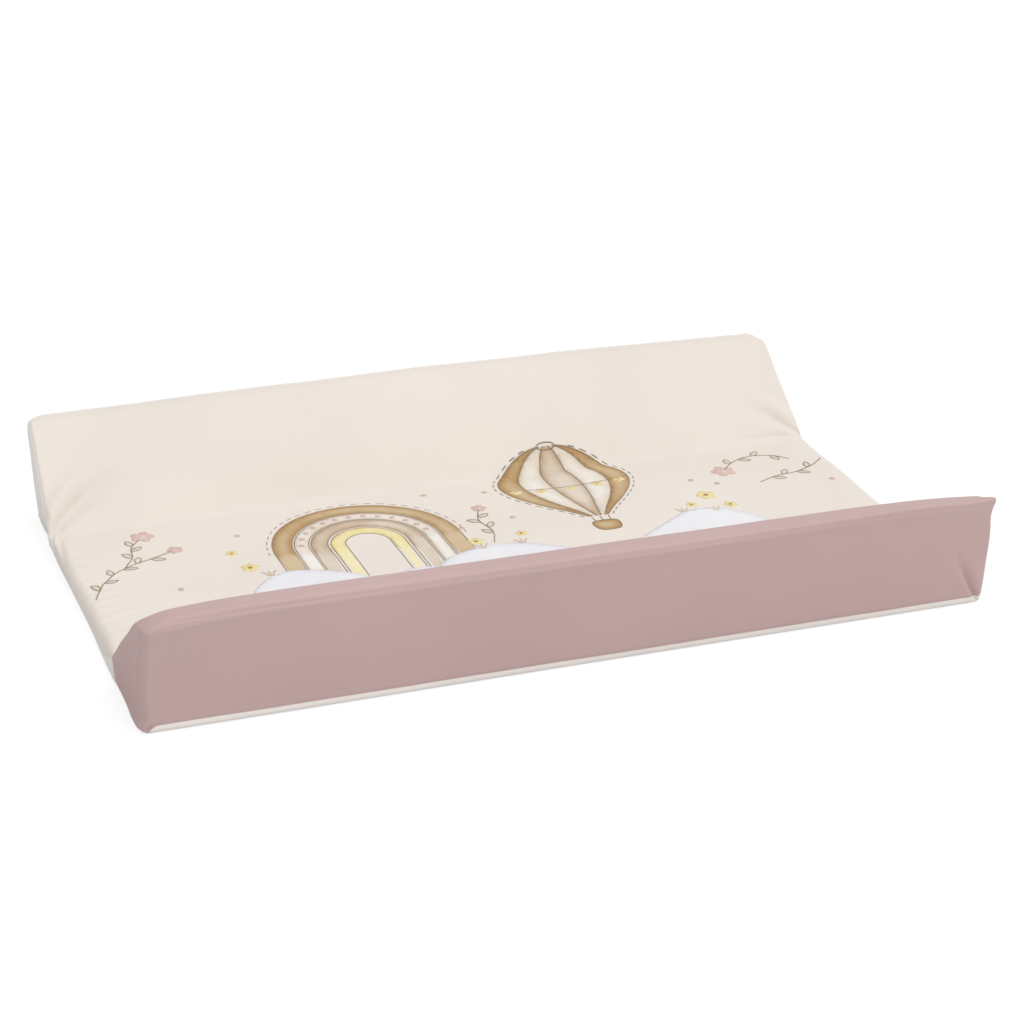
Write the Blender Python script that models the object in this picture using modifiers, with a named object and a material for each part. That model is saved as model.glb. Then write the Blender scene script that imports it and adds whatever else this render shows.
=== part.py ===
"""Changing mat with two raised sides: a stiff board and shaped foam in a cover of welded, coated sheets."""

from math import atan2, cos, dist, hypot, pi, sin, sqrt, tan

import bmesh
import bpy

# The mat lies along X with its underside on z = 0 and its front wall on the -Y side. Sizes are in metres.
LENGTH = 0.800
BASE_WIDTH = 0.473
TOP_WIDTH = 0.496
WALL_HEIGHT = 0.1055
FLOOR_WIDTH = 0.262
FLOOR_HEIGHT = 0.0243
BAND_WIDTH = 0.0225
LEFT_END_LEAN = 0.002
RIGHT_END_LEAN = 0.0

# The stuffed sheets swell: the crests bow upwards along the mat, and the floor and the slopes are crowned.
FRONT_BOW = 0.008
BACK_BOW = 0.006
FRONT_BOW_POWER = 10
BACK_BOW_POWER = 2.5
FLOOR_CROWN = 0.003
SLOPE_CROWN = 0.0025
CROWN_FADE_POWER = 4

# Radii of the cover's edges.
EDGE_RADIUS = 0.0045
CREST_RADIUS = 0.008
FOLD_RADIUS = 0.008
CORNER_RADIUS = 0.006
BASE_RADIUS = 0.005
FLOOR_END_RADIUS = 0.0075
BLUNT_RADIUS = 0.0003
JOIN_DISTANCE = 0.00003

# Sheets, welds and what fills the cover.
SHEET = 0.0012
FIT_GAP = 0.0003
WELD_RADIUS = 0.0005
BOARD_THICKNESS = 0.003
BOARD_MARGIN = 0.011
BOARD_CORNER = 0.010

# Where the cover's panels meet.
FRONT_WELD_MARGIN = 0.0008
BACK_WELD_MARGIN = 0.0006
FACE_RIM = 0.008
END_RIM_MARGIN = 0.001
FLAP = 0.0055
BAND_MARGIN = 0.0005
TIP_OFFSET = 0.0065
TIP_DROP_LENGTH = 0.020
END_DRAPE_LENGTH = 0.046
SEAM_STEP = 0.0004

# Places along the mat's half length where every long piece has a section.
SECTION_SHARES = (0.2, 0.4, 0.6, 0.76, 0.88, 0.95)

# Counts of faces.
FACE_STEPS = 3
EDGE_STEPS = 3
CREST_STEPS = 2
SLOPE_STEPS = 4
FOLD_STEPS = 2
FLOOR_STEPS = 3
CORNER_STEPS = 3
BASE_STEPS = 3
DRAPE_STEPS = 3

FRONT = -1
BACK = 1
LEFT = -1
RIGHT = 1
SEAM_HALF = WELD_RADIUS + FIT_GAP
END_RIM = BASE_RADIUS + SEAM_HALF + END_RIM_MARGIN
GUSSET_DEPTH = FLAP + 2 * SEAM_HALF
FOAM_INSET = SHEET + FIT_GAP
CORNER_SHARE = 1 - 2 * CORNER_RADIUS / LENGTH

COLOURS = {
    "cream_sheet": ((0.81, 0.76, 0.70), 0.42),
    "pink_sheet": ((0.48, 0.35, 0.33), 0.40),
    "white_sheet": ((0.80, 0.80, 0.78), 0.45),
    "foam": ((0.86, 0.82, 0.66), 0.95),
    "hardboard": ((0.30, 0.19, 0.11), 0.80),
}


# Scene and object helpers.


def clear_scene():
    """Removes every object, so that the script starts from nothing."""
    for leftover in list(bpy.data.objects):
        bpy.data.objects.remove(leftover, do_unlink=True)


def make_material(name):
    """Returns a material with its colour and roughness."""
    colour, roughness = COLOURS[name]
    material = bpy.data.materials.new(name)
    material.use_nodes = True
    shader = material.node_tree.nodes["Principled BSDF"]
    shader.inputs["Base Color"].default_value = (*colour, 1.0)
    shader.inputs["Roughness"].default_value = roughness
    shader.inputs["Metallic"].default_value = 0.0
    return material


def add_mesh(name, vertices, faces, material, collection):
    """Adds a mesh object with one material."""
    mesh = bpy.data.meshes.new(name)
    mesh.from_pydata(vertices, [], faces)
    part = bpy.data.objects.new(name, mesh)
    collection.objects.link(part)
    mesh.materials.append(make_material(material))
    mesh.shade_smooth()
    return part


def tidy_mesh(part):
    """Joins the points that coincide and drops the faces that have no area."""
    cage = bmesh.new()
    cage.from_mesh(part.data)
    bmesh.ops.remove_doubles(cage, verts=cage.verts, dist=JOIN_DISTANCE)
    bmesh.ops.dissolve_degenerate(cage, edges=cage.edges, dist=JOIN_DISTANCE)
    cage.to_mesh(part.data)
    cage.free()
    part.data.update()


def strip_faces(columns, flip):
    """Returns the four-sided faces between neighbouring columns, as far up as the shorter one goes."""
    faces = []
    start = 0
    for column, beside in zip(columns, columns[1:]):
        after = start + len(column)
        for step in range(min(len(column), len(beside)) - 1):
            face = (start + step, start + step + 1, after + step + 1, after + step)
            faces.append(tuple(reversed(face)) if flip else face)
        start = after
    return faces


def add_sheet(name, columns, flip, material, collection):
    """Adds a sheet from the columns of its outer side, thickened inwards."""
    points = [point for column in columns for point in column]
    sheet = add_mesh(name, points, strip_faces(columns, flip), material, collection)
    tidy_mesh(sheet)
    thicken(sheet)
    return sheet


def thicken(sheet):
    """Gives an open outer surface the thickness of the coated sheet, on its inner side."""
    solidify = sheet.modifiers.new("Sheet thickness", "SOLIDIFY")
    solidify.thickness = SHEET
    solidify.offset = -1
    solidify.use_even_offset = True
    solidify.use_rim = True


def add_loft(name, sections, flip, material, collection):
    """Adds a solid that runs through closed sections with equal counts of points."""
    count = len(sections[0])
    points = [point for section in sections for point in section]
    faces = []
    for row in range(len(sections) - 1):
        for column in range(count):
            beside = (column + 1) % count
            low = row * count
            face = (low + column, low + beside, low + count + beside, low + count + column)
            faces.append(tuple(reversed(face)) if flip else face)
    start = tuple(range(count))
    end = tuple(range(len(points) - count, len(points)))
    faces.append(start if flip else tuple(reversed(start)))
    faces.append(tuple(reversed(end)) if flip else end)
    loft = add_mesh(name, points, faces, material, collection)
    tidy_mesh(loft)
    return loft


def spaced(route):
    """Returns a route without the points that crowd the one before them."""
    kept = [route[0]]
    for place in route[1:]:
        if dist(place, kept[-1]) > 2 * WELD_RADIUS:
            kept.append(place)
    return kept


def add_weld(name, full_route, material, collection):
    """Adds the fused bead that joins two sheets along a route."""
    route = spaced(full_route)
    curve = bpy.data.curves.new(name, "CURVE")
    curve.dimensions = "3D"
    curve.bevel_depth = WELD_RADIUS
    curve.bevel_resolution = 1
    curve.use_fill_caps = True
    spline = curve.splines.new("POLY")
    spline.points.add(len(route) - 1)
    for knot, place in zip(spline.points, route):
        knot.co = (*place, 1.0)
    curve.materials.append(make_material(material))
    weld = bpy.data.objects.new(name, curve)
    collection.objects.link(weld)
    return weld


# Outlines in the mat's cross-section, where y counts outwards from the middle of the floor.


def offset_path(path, inset):
    """Returns an open path moved to its left by inset, with its corners kept sharp."""
    moved = []
    for (y0, z0), (y1, z1) in zip(path, path[1:]):
        run = hypot(y1 - y0, z1 - z0)
        shift_y = -(z1 - z0) / run * inset
        shift_z = (y1 - y0) / run * inset
        moved.append(((y0 + shift_y, z0 + shift_z), (y1 + shift_y, z1 + shift_z)))
    corners = [moved[0][0]]
    for first, second in zip(moved, moved[1:]):
        corners.append(crossing(first, second))
    corners.append(moved[-1][1])
    return corners


def crossing(first, second):
    """Returns the point where two lines, each given by two points, cross."""
    (ay, az), (by, bz) = first
    (cy, cz), (dy, dz) = second
    det = (by - ay) * (dz - cz) - (bz - az) * (dy - cy)
    along = ((cy - ay) * (dz - cz) - (cz - az) * (dy - cy)) / det
    return (ay + along * (by - ay), az + along * (bz - az))


def corner_arc(before, corner, after, radius, steps):
    """Returns the points of the arc that rounds one corner of a path."""
    heading_in = atan2(corner[1] - before[1], corner[0] - before[0])
    heading_out = atan2(after[1] - corner[1], after[0] - corner[0])
    turn = (heading_out - heading_in + pi) % (2 * pi) - pi
    reach = radius * tan(abs(turn) / 2)
    hand = 1 if turn > 0 else -1
    start = (corner[0] - cos(heading_in) * reach, corner[1] - sin(heading_in) * reach)
    hub = (start[0] - hand * sin(heading_in) * radius, start[1] + hand * cos(heading_in) * radius)
    arc = []
    for step in range(steps + 1):
        angle = heading_in + turn * step / steps
        arc.append((hub[0] + hand * sin(angle) * radius, hub[1] - hand * cos(angle) * radius))
    return arc


def spread(start, end, steps):
    """Returns the numbers that divide a span, without its two ends."""
    return [start + (end - start) * step / steps for step in range(1, steps)]


def between(start, end, steps):
    """Returns the points that divide a line, without its two ends."""
    return list(zip(*(spread(a, b, steps) for a, b in zip(start, end))))


def half_width(height):
    """Returns how far an outer face is from the middle of the mat: the walls lean outwards."""
    return (BASE_WIDTH + (TOP_WIDTH - BASE_WIDTH) * height / WALL_HEIGHT) / 2


def half_length(end, height):
    """Returns how far an end face is from the middle of the mat."""
    lean = LEFT_END_LEAN if end == LEFT else RIGHT_END_LEAN
    return LENGTH / 2 - lean * height / WALL_HEIGHT


def crest_height(side, share):
    """Returns the height of a wall at a share of the half length."""
    bow, power = (FRONT_BOW, FRONT_BOW_POWER) if side == FRONT else (BACK_BOW, BACK_BOW_POWER)
    return WALL_HEIGHT + bow * (1 - abs(share) ** power)


def seam_inset(side):
    """Returns how far behind its outer edge a wall's crest weld lies.

    The front weld lies just before the crest's bend, and the back one just behind the rounded corners.
    """
    crest = crest_height(side, 0)
    if side == BACK:
        lean = half_width(crest) - half_width(crest - GUSSET_DEPTH)
        return CORNER_RADIUS + lean + SEAM_HALF + BACK_WELD_MARGIN
    run = half_width(crest) - BAND_WIDTH - FLOOR_WIDTH / 2
    bend = atan2(crest - FLOOR_HEIGHT, run)
    return BAND_WIDTH - CREST_RADIUS * tan(bend / 2) - SEAM_HALF - FRONT_WELD_MARGIN


def seam_distance(side, share):
    """Returns how far from the middle of the mat a crest weld lies."""
    return half_width(crest_height(side, share)) - seam_inset(side)


def outline(side, share, inset):
    """Returns the corners from the foot of a wall to the middle of the floor, moved inwards by inset."""
    crest = crest_height(side, share)
    edge = half_width(crest)
    path = [
        (half_width(0), 0),
        (edge, crest),
        (edge - BAND_WIDTH, crest),
        (FLOOR_WIDTH / 2, FLOOR_HEIGHT),
        (0, FLOOR_HEIGHT),
    ]
    return offset_path(path, inset)


def outline_arcs(side, share, inset):
    """Returns the outline's corners and the arcs that round its outer edge, its crest and its fold."""
    path = outline(side, share, inset)
    radii = (
        max(EDGE_RADIUS - inset, BLUNT_RADIUS),
        max(CREST_RADIUS - inset, BLUNT_RADIUS),
        FOLD_RADIUS + inset,
    )
    steps = (EDGE_STEPS, CREST_STEPS, FOLD_STEPS)
    arcs = [corner_arc(*path[k:k + 3], radii[k], steps[k]) for k in range(3)]
    return path, arcs


def crowned(share, point):
    """Lifts a point of the floor or of a slope by the swelling of the sheet there."""
    y, z = point
    fade = 1 - abs(share) ** CROWN_FADE_POWER
    fold = FLOOR_WIDTH / 2
    crest = half_width(WALL_HEIGHT) - BAND_WIDTH
    if y < fold:
        return (y, z + fade * FLOOR_CROWN * (1 - (y / fold) ** 2))
    if y < crest:
        return (y, z + fade * SLOPE_CROWN * sin(pi * (y - fold) / (crest - fold)))
    return point


def slope_points(arcs):
    """Returns the points from the crest's arc down the slope to the fold's arc."""
    return [*arcs[1], *between(arcs[1][-1], arcs[2][0], SLOPE_STEPS), *arcs[2]]


def placed(share, side, point):
    """Puts a point of a section at a share of the half length."""
    y, z = point
    return (share * half_length(RIGHT if share > 0 else LEFT, z), side * y, z)


def section_shares():
    """Returns the shares of the half length, from left to right, where the long pieces have sections."""
    shares = [*SECTION_SHARES, CORNER_SHARE]
    return [-share for share in reversed(shares)] + [0.0] + shares


# The walls' covers: each runs from a gusset's tip round the corner, along the face and to the other tip.


def slanted_gap(rise, run):
    """Returns the upright gap that keeps a weld's width between two edges of this slant."""
    return 2 * SEAM_HALF * sqrt(1 + (rise / run) ** 2)


def tip_place():
    """Returns how far from the middle the tip of a gusset is, and the height of its lower corner."""
    return FLOOR_WIDTH / 2 + TIP_OFFSET, FLOOR_HEIGHT - FLAP


def gusset_foot(distance):
    """Returns the height of a gusset's lower edge: it climbs to the tip beside the floor's end."""
    tip, tip_height = tip_place()
    climb = max(0.0, 1 - (distance - tip) / TIP_DROP_LENGTH)
    return END_RIM + SEAM_HALF + (tip_height - END_RIM - SEAM_HALF) * climb


def leaned(distance, height, other_height):
    """Returns where a line of an end face that follows the wall's lean is at another height."""
    fold = FLOOR_WIDTH / 2
    reach = half_width(height) - CORNER_RADIUS - fold
    other_reach = half_width(other_height) - CORNER_RADIUS - fold
    return fold + (distance - fold) * other_reach / reach


def face_foot(turn):
    """Returns the height of a wall cover's lower edge at a corner, from the face, 0, to the end, 1."""
    foot_at_end = END_RIM + SEAM_HALF
    return FACE_RIM + SEAM_HALF + (foot_at_end - FACE_RIM - SEAM_HALF) * turn


def corner_point(end, side, turn, height, inset):
    """Returns a point of a rounded upright corner, where turn goes from the face, 0, to the end, 1."""
    radius = CORNER_RADIUS - inset
    x = half_length(end, height) - CORNER_RADIUS + radius * sin(turn * pi / 2)
    y = half_width(height) - CORNER_RADIUS + radius * cos(turn * pi / 2)
    return (end * x, side * y, height)


def face_column(side, share, inset):
    """Returns the points up one section of a wall's face, over its edge and across its band."""
    path, arcs = outline_arcs(side, share, inset)
    foot_height = FACE_RIM + SEAM_HALF
    foot = (half_width(foot_height) - inset, foot_height)
    weld = (seam_distance(side, share) + SEAM_HALF, path[1][1])
    points = [foot, *between(foot, arcs[0][0], FACE_STEPS), *arcs[0], weld]
    return [placed(share, side, point) for point in points]


def corner_column(end, side, turn, inset):
    """Returns the points up a rounded corner, over its edge and to the end of the band."""
    share = CORNER_SHARE + (1 - CORNER_SHARE) * sin(turn * pi / 2)
    crest = crest_height(side, share)
    radius = EDGE_RADIUS - inset
    shoulder = crest - EDGE_RADIUS
    foot = corner_point(end, side, turn, face_foot(turn), inset)
    points = [foot, *between(foot, corner_point(end, side, turn, shoulder, inset), FACE_STEPS)]
    for step in range(EDGE_STEPS + 1):
        angle = step / EDGE_STEPS * pi / 2
        sunk = inset + radius * (1 - cos(angle))
        height = shoulder + radius * sin(angle)
        points.append(corner_point(end, side, turn, height, sunk))
    x = half_length(end, crest) - CORNER_RADIUS
    x += (CORNER_RADIUS - EDGE_RADIUS - BAND_MARGIN) * turn
    y = seam_distance(side, share) + SEAM_HALF
    return [*points, (end * x, side * y, crest - inset)]


def gusset_line(side, depth):
    """Returns the points down a line that runs depth below the slope, from the crest's bend to the tip."""
    path, arcs = outline_arcs(side, 1, depth)
    start, end = arcs[1][-1], path[3]
    fall = (start[1] - end[1]) / (start[0] - end[0])
    tip = tip_place()[0]
    bend, low = [(y, start[1] - fall * (start[0] - y)) for y in (tip + TIP_DROP_LENGTH, tip)]
    return [*arcs[1], *between(start, bend, SLOPE_STEPS - 1), bend, low]


def gusset_tops(side):
    """Returns the points of a gusset's upper edge, from beside the crest weld down to its tip."""
    beside_weld = seam_distance(side, 1) + SEAM_HALF - SEAM_STEP
    level = crest_height(side, 1) - GUSSET_DEPTH
    return [(beside_weld, level), *gusset_line(side, GUSSET_DEPTH)]


def gusset_column(end, side, top, inset):
    """Returns the points up the end face from a gusset's lower edge to a point of its upper edge."""
    distance, height = top
    foot = gusset_foot(leaned(distance, height, END_RIM))
    column = []
    for z in [foot, *spread(foot, height, FACE_STEPS - 1), height]:
        y = leaned(distance, height, z)
        column.append((end * (half_length(end, z) - inset), side * y, z))
    return column


def band_end_column(end, side, inset):
    """Returns the points up the end face beside the crest weld and over the edge onto the band."""
    crest = crest_height(side, 1)
    radius = EDGE_RADIUS - inset
    distance = seam_distance(side, 1) + SEAM_HALF
    column = gusset_column(end, side, (distance, crest - GUSSET_DEPTH), inset)
    for step in range(EDGE_STEPS + 1):
        angle = step / EDGE_STEPS * pi / 2
        z = crest - EDGE_RADIUS + radius * sin(angle)
        x = half_length(end, z) - inset - radius * (1 - cos(angle))
        column.append((end * x, side * distance, z))
    x = half_length(end, crest) - EDGE_RADIUS - BAND_MARGIN
    column.append((end * x, side * distance, crest - inset))
    return column


def end_columns(end, side, inset):
    """Returns the columns of one gusset and its corner, from the tip to the face."""
    columns = [gusset_column(end, side, top, inset) for top in reversed(gusset_tops(side))]
    columns.append(band_end_column(end, side, inset))
    for step in range(CORNER_STEPS, 0, -1):
        columns.append(corner_column(end, side, step / CORNER_STEPS, inset))
    return columns


def wall_columns(side, inset=0.0):
    """Returns every column of a wall's cover, from the left tip to the right tip."""
    faces = [face_column(side, share, inset) for share in section_shares()]
    right = end_columns(RIGHT, side, inset)
    return [*end_columns(LEFT, side, inset), *faces, *reversed(right)]


# The top cover: one sheet over the floor and both slopes, turned down over the ends.


def half_section(side, share):
    """Returns the outer side of the top cover from a crest weld to the floor, without the middle."""
    path, arcs = outline_arcs(side, share, 0)
    weld = (seam_distance(side, share) - SEAM_HALF, path[1][1])
    points = [weld, *slope_points(arcs), *between(arcs[2][-1], path[4], FLOOR_STEPS)]
    return [crowned(share, point) for point in points]


def top_section(share):
    """Returns the outer side of the top cover from the front weld to the back weld, with signed y."""
    middle = crowned(share, (0, FLOOR_HEIGHT))
    front = [(-y, z) for y, z in half_section(FRONT, share)]
    back = [(y, z) for y, z in half_section(BACK, share)]
    return [*front, middle, *reversed(back)]


def inward_normals(section):
    """Returns the direction into the mat at each point of a section that runs from front to back."""
    last = len(section) - 1
    normals = []
    for index in range(last + 1):
        y0, z0 = section[max(index - 1, 0)]
        y1, z1 = section[min(index + 1, last)]
        run = hypot(y1 - y0, z1 - z0)
        normals.append(((z1 - z0) / run, -(y1 - y0) / run))
    return normals


def drape(distance):
    """Returns how far the top cover is turned down over an end, and its radius there."""
    fold = FLOOR_WIDTH / 2
    ease = min(max((fold - distance) / END_DRAPE_LENGTH, 0.0), 1.0)
    deepest = FLOOR_HEIGHT - END_RIM - SEAM_HALF
    return FLAP + (deepest - FLAP) * ease, EDGE_RADIUS + (FLOOR_END_RADIUS - EDGE_RADIUS) * ease


def top_end_rows(end):
    """Returns the top cover's rows across one end, from the floor's level out and down to its edge."""
    section = top_section(1)
    normals = inward_normals(section)
    rows = []
    for step in range(EDGE_STEPS + 2):
        row = []
        for (y, z), (into_y, into_z) in zip(section, normals):
            depth, radius = drape(abs(y))
            angle = min(step / EDGE_STEPS, 1) * pi / 2
            sunk = depth if step > EDGE_STEPS else radius * (1 - cos(angle))
            height = z + into_z * sunk
            x = half_length(end, height) - radius * (1 - sin(angle))
            row.append((end * x, y + into_y * sunk, height))
        rows.append(row)
    return rows


def top_rows():
    """Returns every row of the top cover, from its left edge to its right edge."""
    left = list(reversed(top_end_rows(LEFT)))
    right = top_end_rows(RIGHT)
    body = []
    for share in section_shares()[1:-1]:
        body.append([placed(share, 1, point) for point in top_section(share)])
    return [*left, *body, *right]


# The bottom cover: a flat sheet turned up all round, under the board.


def end_rim(distance):
    """Returns the height of the bottom cover's edge on an end face."""
    fold = FLOOR_WIDTH / 2
    tip, tip_height = tip_place()
    if distance < fold:
        depth = drape(distance)[0]
        draped = fold - END_DRAPE_LENGTH < distance
        gap = slanted_gap(depth_range(), END_DRAPE_LENGTH) if draped else 2 * SEAM_HALF
        return FLOOR_HEIGHT - depth - gap
    rise = tip_height - END_RIM - SEAM_HALF
    slanted = distance < tip + TIP_DROP_LENGTH
    gap = slanted_gap(rise, TIP_DROP_LENGTH) if slanted else 2 * SEAM_HALF
    return min(gusset_foot(distance), tip_height) - gap


def depth_range():
    """Returns how much lower the top cover hangs at the middle of an end than at the folds."""
    return FLOOR_HEIGHT - END_RIM - SEAM_HALF - FLAP


def end_distances():
    """Returns the places across half an end face where its panels' edges turn, from the middle."""
    fold = FLOOR_WIDTH / 2
    tip = tip_place()[0]
    drape_start = fold - END_DRAPE_LENGTH
    foot = tip + TIP_DROP_LENGTH
    corner = half_width(0) - CORNER_RADIUS
    under_floor = [0.0, drape_start / 2, drape_start, *spread(drape_start, fold, DRAPE_STEPS), fold]
    return [*under_floor, tip, *spread(tip, foot, DRAPE_STEPS), foot, (foot + corner) / 2]


def base_profile(height):
    """Returns inset and height from the flat underside round the lower edge and up to the rim."""
    profile = []
    for step in range(BASE_STEPS + 1):
        angle = step / BASE_STEPS * pi / 2
        profile.append((BASE_RADIUS * (1 - sin(angle)), BASE_RADIUS * (1 - cos(angle))))
    return [*profile, (0, height)]


def rim_corner(end, side, turn):
    """Returns the bottom cover's profile at one place round a corner."""
    profile = base_profile(face_foot(turn) - 2 * SEAM_HALF)
    return [corner_point(end, side, turn, z, inset) for inset, z in profile]


def rim_end(end, side, distance):
    """Returns the bottom cover's profile at one place across an end."""
    profile = base_profile(end_rim(distance))
    return [(end * (half_length(end, z) - inset), side * distance, z) for inset, z in profile]


def rim_face(side, share):
    """Returns the bottom cover's profile at one place along a face."""
    profile = base_profile(FACE_RIM - SEAM_HALF)
    return [placed(share, side, (half_width(z) - inset, z)) for inset, z in profile]


def rim_columns():
    """Returns the bottom cover's profiles in one loop, seen from above against the clock."""
    turns = [step / CORNER_STEPS for step in range(1, CORNER_STEPS + 1)]
    across = end_distances()
    shares = section_shares()
    loop = [rim_face(FRONT, share) for share in shares]
    loop += [rim_corner(RIGHT, FRONT, turn) for turn in turns]
    loop += [rim_end(RIGHT, FRONT, distance) for distance in reversed(across)]
    loop += [rim_end(RIGHT, BACK, distance) for distance in across[1:]]
    loop += [rim_corner(RIGHT, BACK, turn) for turn in reversed(turns)]
    loop += [rim_face(BACK, share) for share in reversed(shares)]
    loop += [rim_corner(LEFT, BACK, turn) for turn in turns]
    loop += [rim_end(LEFT, BACK, distance) for distance in reversed(across)]
    loop += [rim_end(LEFT, FRONT, distance) for distance in across[1:]]
    loop += [rim_corner(LEFT, FRONT, turn) for turn in reversed(turns)]
    return loop


def add_bottom_cover(collection):
    """Adds the white sheet under the board, turned up round the edge."""
    columns = rim_columns()
    count = len(columns[0])
    points = [point for column in columns for point in column]
    faces = strip_faces(columns, True)
    last = (len(columns) - 1) * count
    for row in range(count - 1):
        faces.append((last + row, row, row + 1, last + row + 1))
    faces.append(tuple(reversed(range(0, len(points), count))))
    cover = add_mesh("bottom_cover", points, faces, "white_sheet", collection)
    tidy_mesh(cover)
    thicken(cover)
    return cover


# The welds lie in the middle of the sheets' thickness, between the edges that they join.


def crest_weld_route(side):
    """Returns the route from one gusset's tip up its edge, along the crest and down to the other tip."""
    depth = SHEET / 2
    crest = []
    for share in section_shares():
        point = (seam_distance(side, share), crest_height(side, share) - depth)
        crest.append(placed(share, side, point))
    left = end_weld_route(LEFT, side, depth)
    right = end_weld_route(RIGHT, side, depth)
    return [*left, *crest, *reversed(right)]


def end_weld_route(end, side, depth):
    """Returns the route up a gusset's edge and over the end of the band."""
    crest = crest_height(side, 1)
    distance = seam_distance(side, 1)
    level = crest - FLAP - SEAM_HALF
    rising = [*reversed(gusset_line(side, FLAP + SEAM_HALF)), (distance, level)]
    route = [(end * (half_length(end, z) - depth), side * y, z) for y, z in rising]
    radius = EDGE_RADIUS - depth
    for step in range(EDGE_STEPS + 1):
        angle = step / EDGE_STEPS * pi / 2
        height = crest - EDGE_RADIUS + radius * sin(angle)
        x = half_length(end, height) - depth - radius * (1 - cos(angle))
        route.append((end * x, side * distance, height))
    return route


def base_weld_route(side):
    """Returns the route along a wall cover's lower edge, from tip to tip."""
    depth = SHEET / 2
    route = []
    for column in wall_columns(side, depth):
        x, y, z = column[0]
        distance = abs(y)
        on_end = distance < half_width(z) - CORNER_RADIUS + depth
        gap = gusset_foot(distance) - end_rim(distance) if on_end else 2 * SEAM_HALF
        route.append((x, y, z - gap / 2))
    return route


def floor_end_route(end):
    """Returns the route across the floor's end, where the top cover meets the bottom cover."""
    reach = FLOOR_WIDTH / 2
    places = [place for place in end_distances() if place <= reach]
    signed = [-place for place in reversed(places)] + places[1:]
    route = []
    for y in signed:
        distance = abs(y)
        height = (FLOOR_HEIGHT - drape(distance)[0] + end_rim(distance)) / 2
        route.append((end * (half_length(end, height) - SHEET / 2), y, height))
    return route


# What the cover holds.


def foam_stations(radius):
    """Returns share, distance from the end face and extra inset of each section of a foam piece."""
    stations = [(share, None, 0.0) for share in section_shares()[1:-1]]
    ends = []
    for step in range(EDGE_STEPS + 1):
        angle = step / EDGE_STEPS * pi / 2
        ends.append((FOAM_INSET + radius * (1 - sin(angle)), radius * (1 - cos(angle))))
    left = [(-1.0, margin, extra) for margin, extra in reversed(ends)]
    right = [(1.0, margin, extra) for margin, extra in ends]
    return [*left, *stations, *right]


def foam_point(share, margin, side, point):
    """Puts a point of a foam section in place, margin in from the end face where there is one."""
    if margin is None:
        return placed(share, side, point)
    y, z = point
    return (share * (half_length(RIGHT if share > 0 else LEFT, z) - margin), side * y, z)


def cut_level(start, end, level):
    """Returns the point of a line at a height."""
    along = (level - start[1]) / (end[1] - start[1])
    return (start[0] + along * (end[0] - start[0]), level)


def wedge_section(side, share, inset, level):
    """Returns the closed outline of a wall's foam above a level."""
    path, arcs = outline_arcs(side, share, inset)
    foot = cut_level(path[0], path[1], level)
    toe = cut_level(path[2], path[3], level)
    slope = between(arcs[1][-1], toe, SLOPE_STEPS)
    points = [foot, *between(foot, arcs[0][0], FACE_STEPS), *arcs[0], *arcs[1], *slope, toe]
    return [crowned(share, point) if point not in (foot, toe) else point for point in points]


def add_wedge_foam(name, side, collection):
    """Adds the foam of one wall, a wedge on the floor foam."""
    level = FLOOR_HEIGHT - SHEET
    sections = []
    for share, margin, extra in foam_stations(CORNER_RADIUS - FOAM_INSET):
        outline_points = wedge_section(side, share, FOAM_INSET + extra, level)
        sections.append([foam_point(share, margin, side, point) for point in outline_points])
    return add_loft(name, sections, side == FRONT, "foam", collection)


def base_section(share, extra):
    """Returns the closed outline of the floor foam, crowned between the walls."""
    low = FOAM_INSET + BOARD_THICKNESS + FIT_GAP
    high = FLOOR_HEIGHT - FOAM_INSET - extra
    fold = FLOOR_WIDTH / 2
    sunk = FOAM_INSET + extra
    half = [(half_width(low) - sunk, low), (half_width(high) - sunk, high), (fold, high)]
    half += [crowned(share, point) for point in between((fold, high), (0, high), FLOOR_STEPS)]
    middle = crowned(share, (0, high))
    front = [(-y, z) for y, z in half]
    return [*front, middle, *reversed(half)]


def add_base_foam(collection):
    """Adds the foam under the floor and both walls."""
    sections = []
    for share, margin, extra in foam_stations(FLOOR_END_RADIUS - FOAM_INSET):
        points = base_section(share, extra)
        sections.append([foam_point(share, margin, 1, point) for point in points])
    return add_loft("base_foam", sections, True, "foam", collection)


def rounded_rectangle(half_x, half_y, radius):
    """Returns the corners of a rounded rectangle, against the clock."""
    points = []
    for quarter in range(4):
        sign_x = 1 if quarter in (0, 3) else -1
        sign_y = 1 if quarter in (0, 1) else -1
        for step in range(CORNER_STEPS + 1):
            angle = (quarter + step / CORNER_STEPS) * pi / 2
            x = sign_x * (half_x - radius) + radius * cos(angle)
            points.append((x, sign_y * (half_y - radius) + radius * sin(angle)))
    return points


def add_board(collection):
    """Adds the stiff board that lies under the foam."""
    curve = bpy.data.curves.new("stiffening_board", "CURVE")
    curve.dimensions = "2D"
    curve.fill_mode = "BOTH"
    curve.extrude = BOARD_THICKNESS / 2
    half_x = LENGTH / 2 - BOARD_MARGIN
    half_y = BASE_WIDTH / 2 - BOARD_MARGIN
    outline_points = rounded_rectangle(half_x, half_y, BOARD_CORNER)
    spline = curve.splines.new("POLY")
    spline.use_cyclic_u = True
    spline.points.add(len(outline_points) - 1)
    for knot, (x, y) in zip(spline.points, outline_points):
        knot.co = (x, y, 0.0, 1.0)
    curve.materials.append(make_material("hardboard"))
    board = bpy.data.objects.new("stiffening_board", curve)
    board.location.z = FOAM_INSET + BOARD_THICKNESS / 2
    collection.objects.link(board)
    return board


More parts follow.
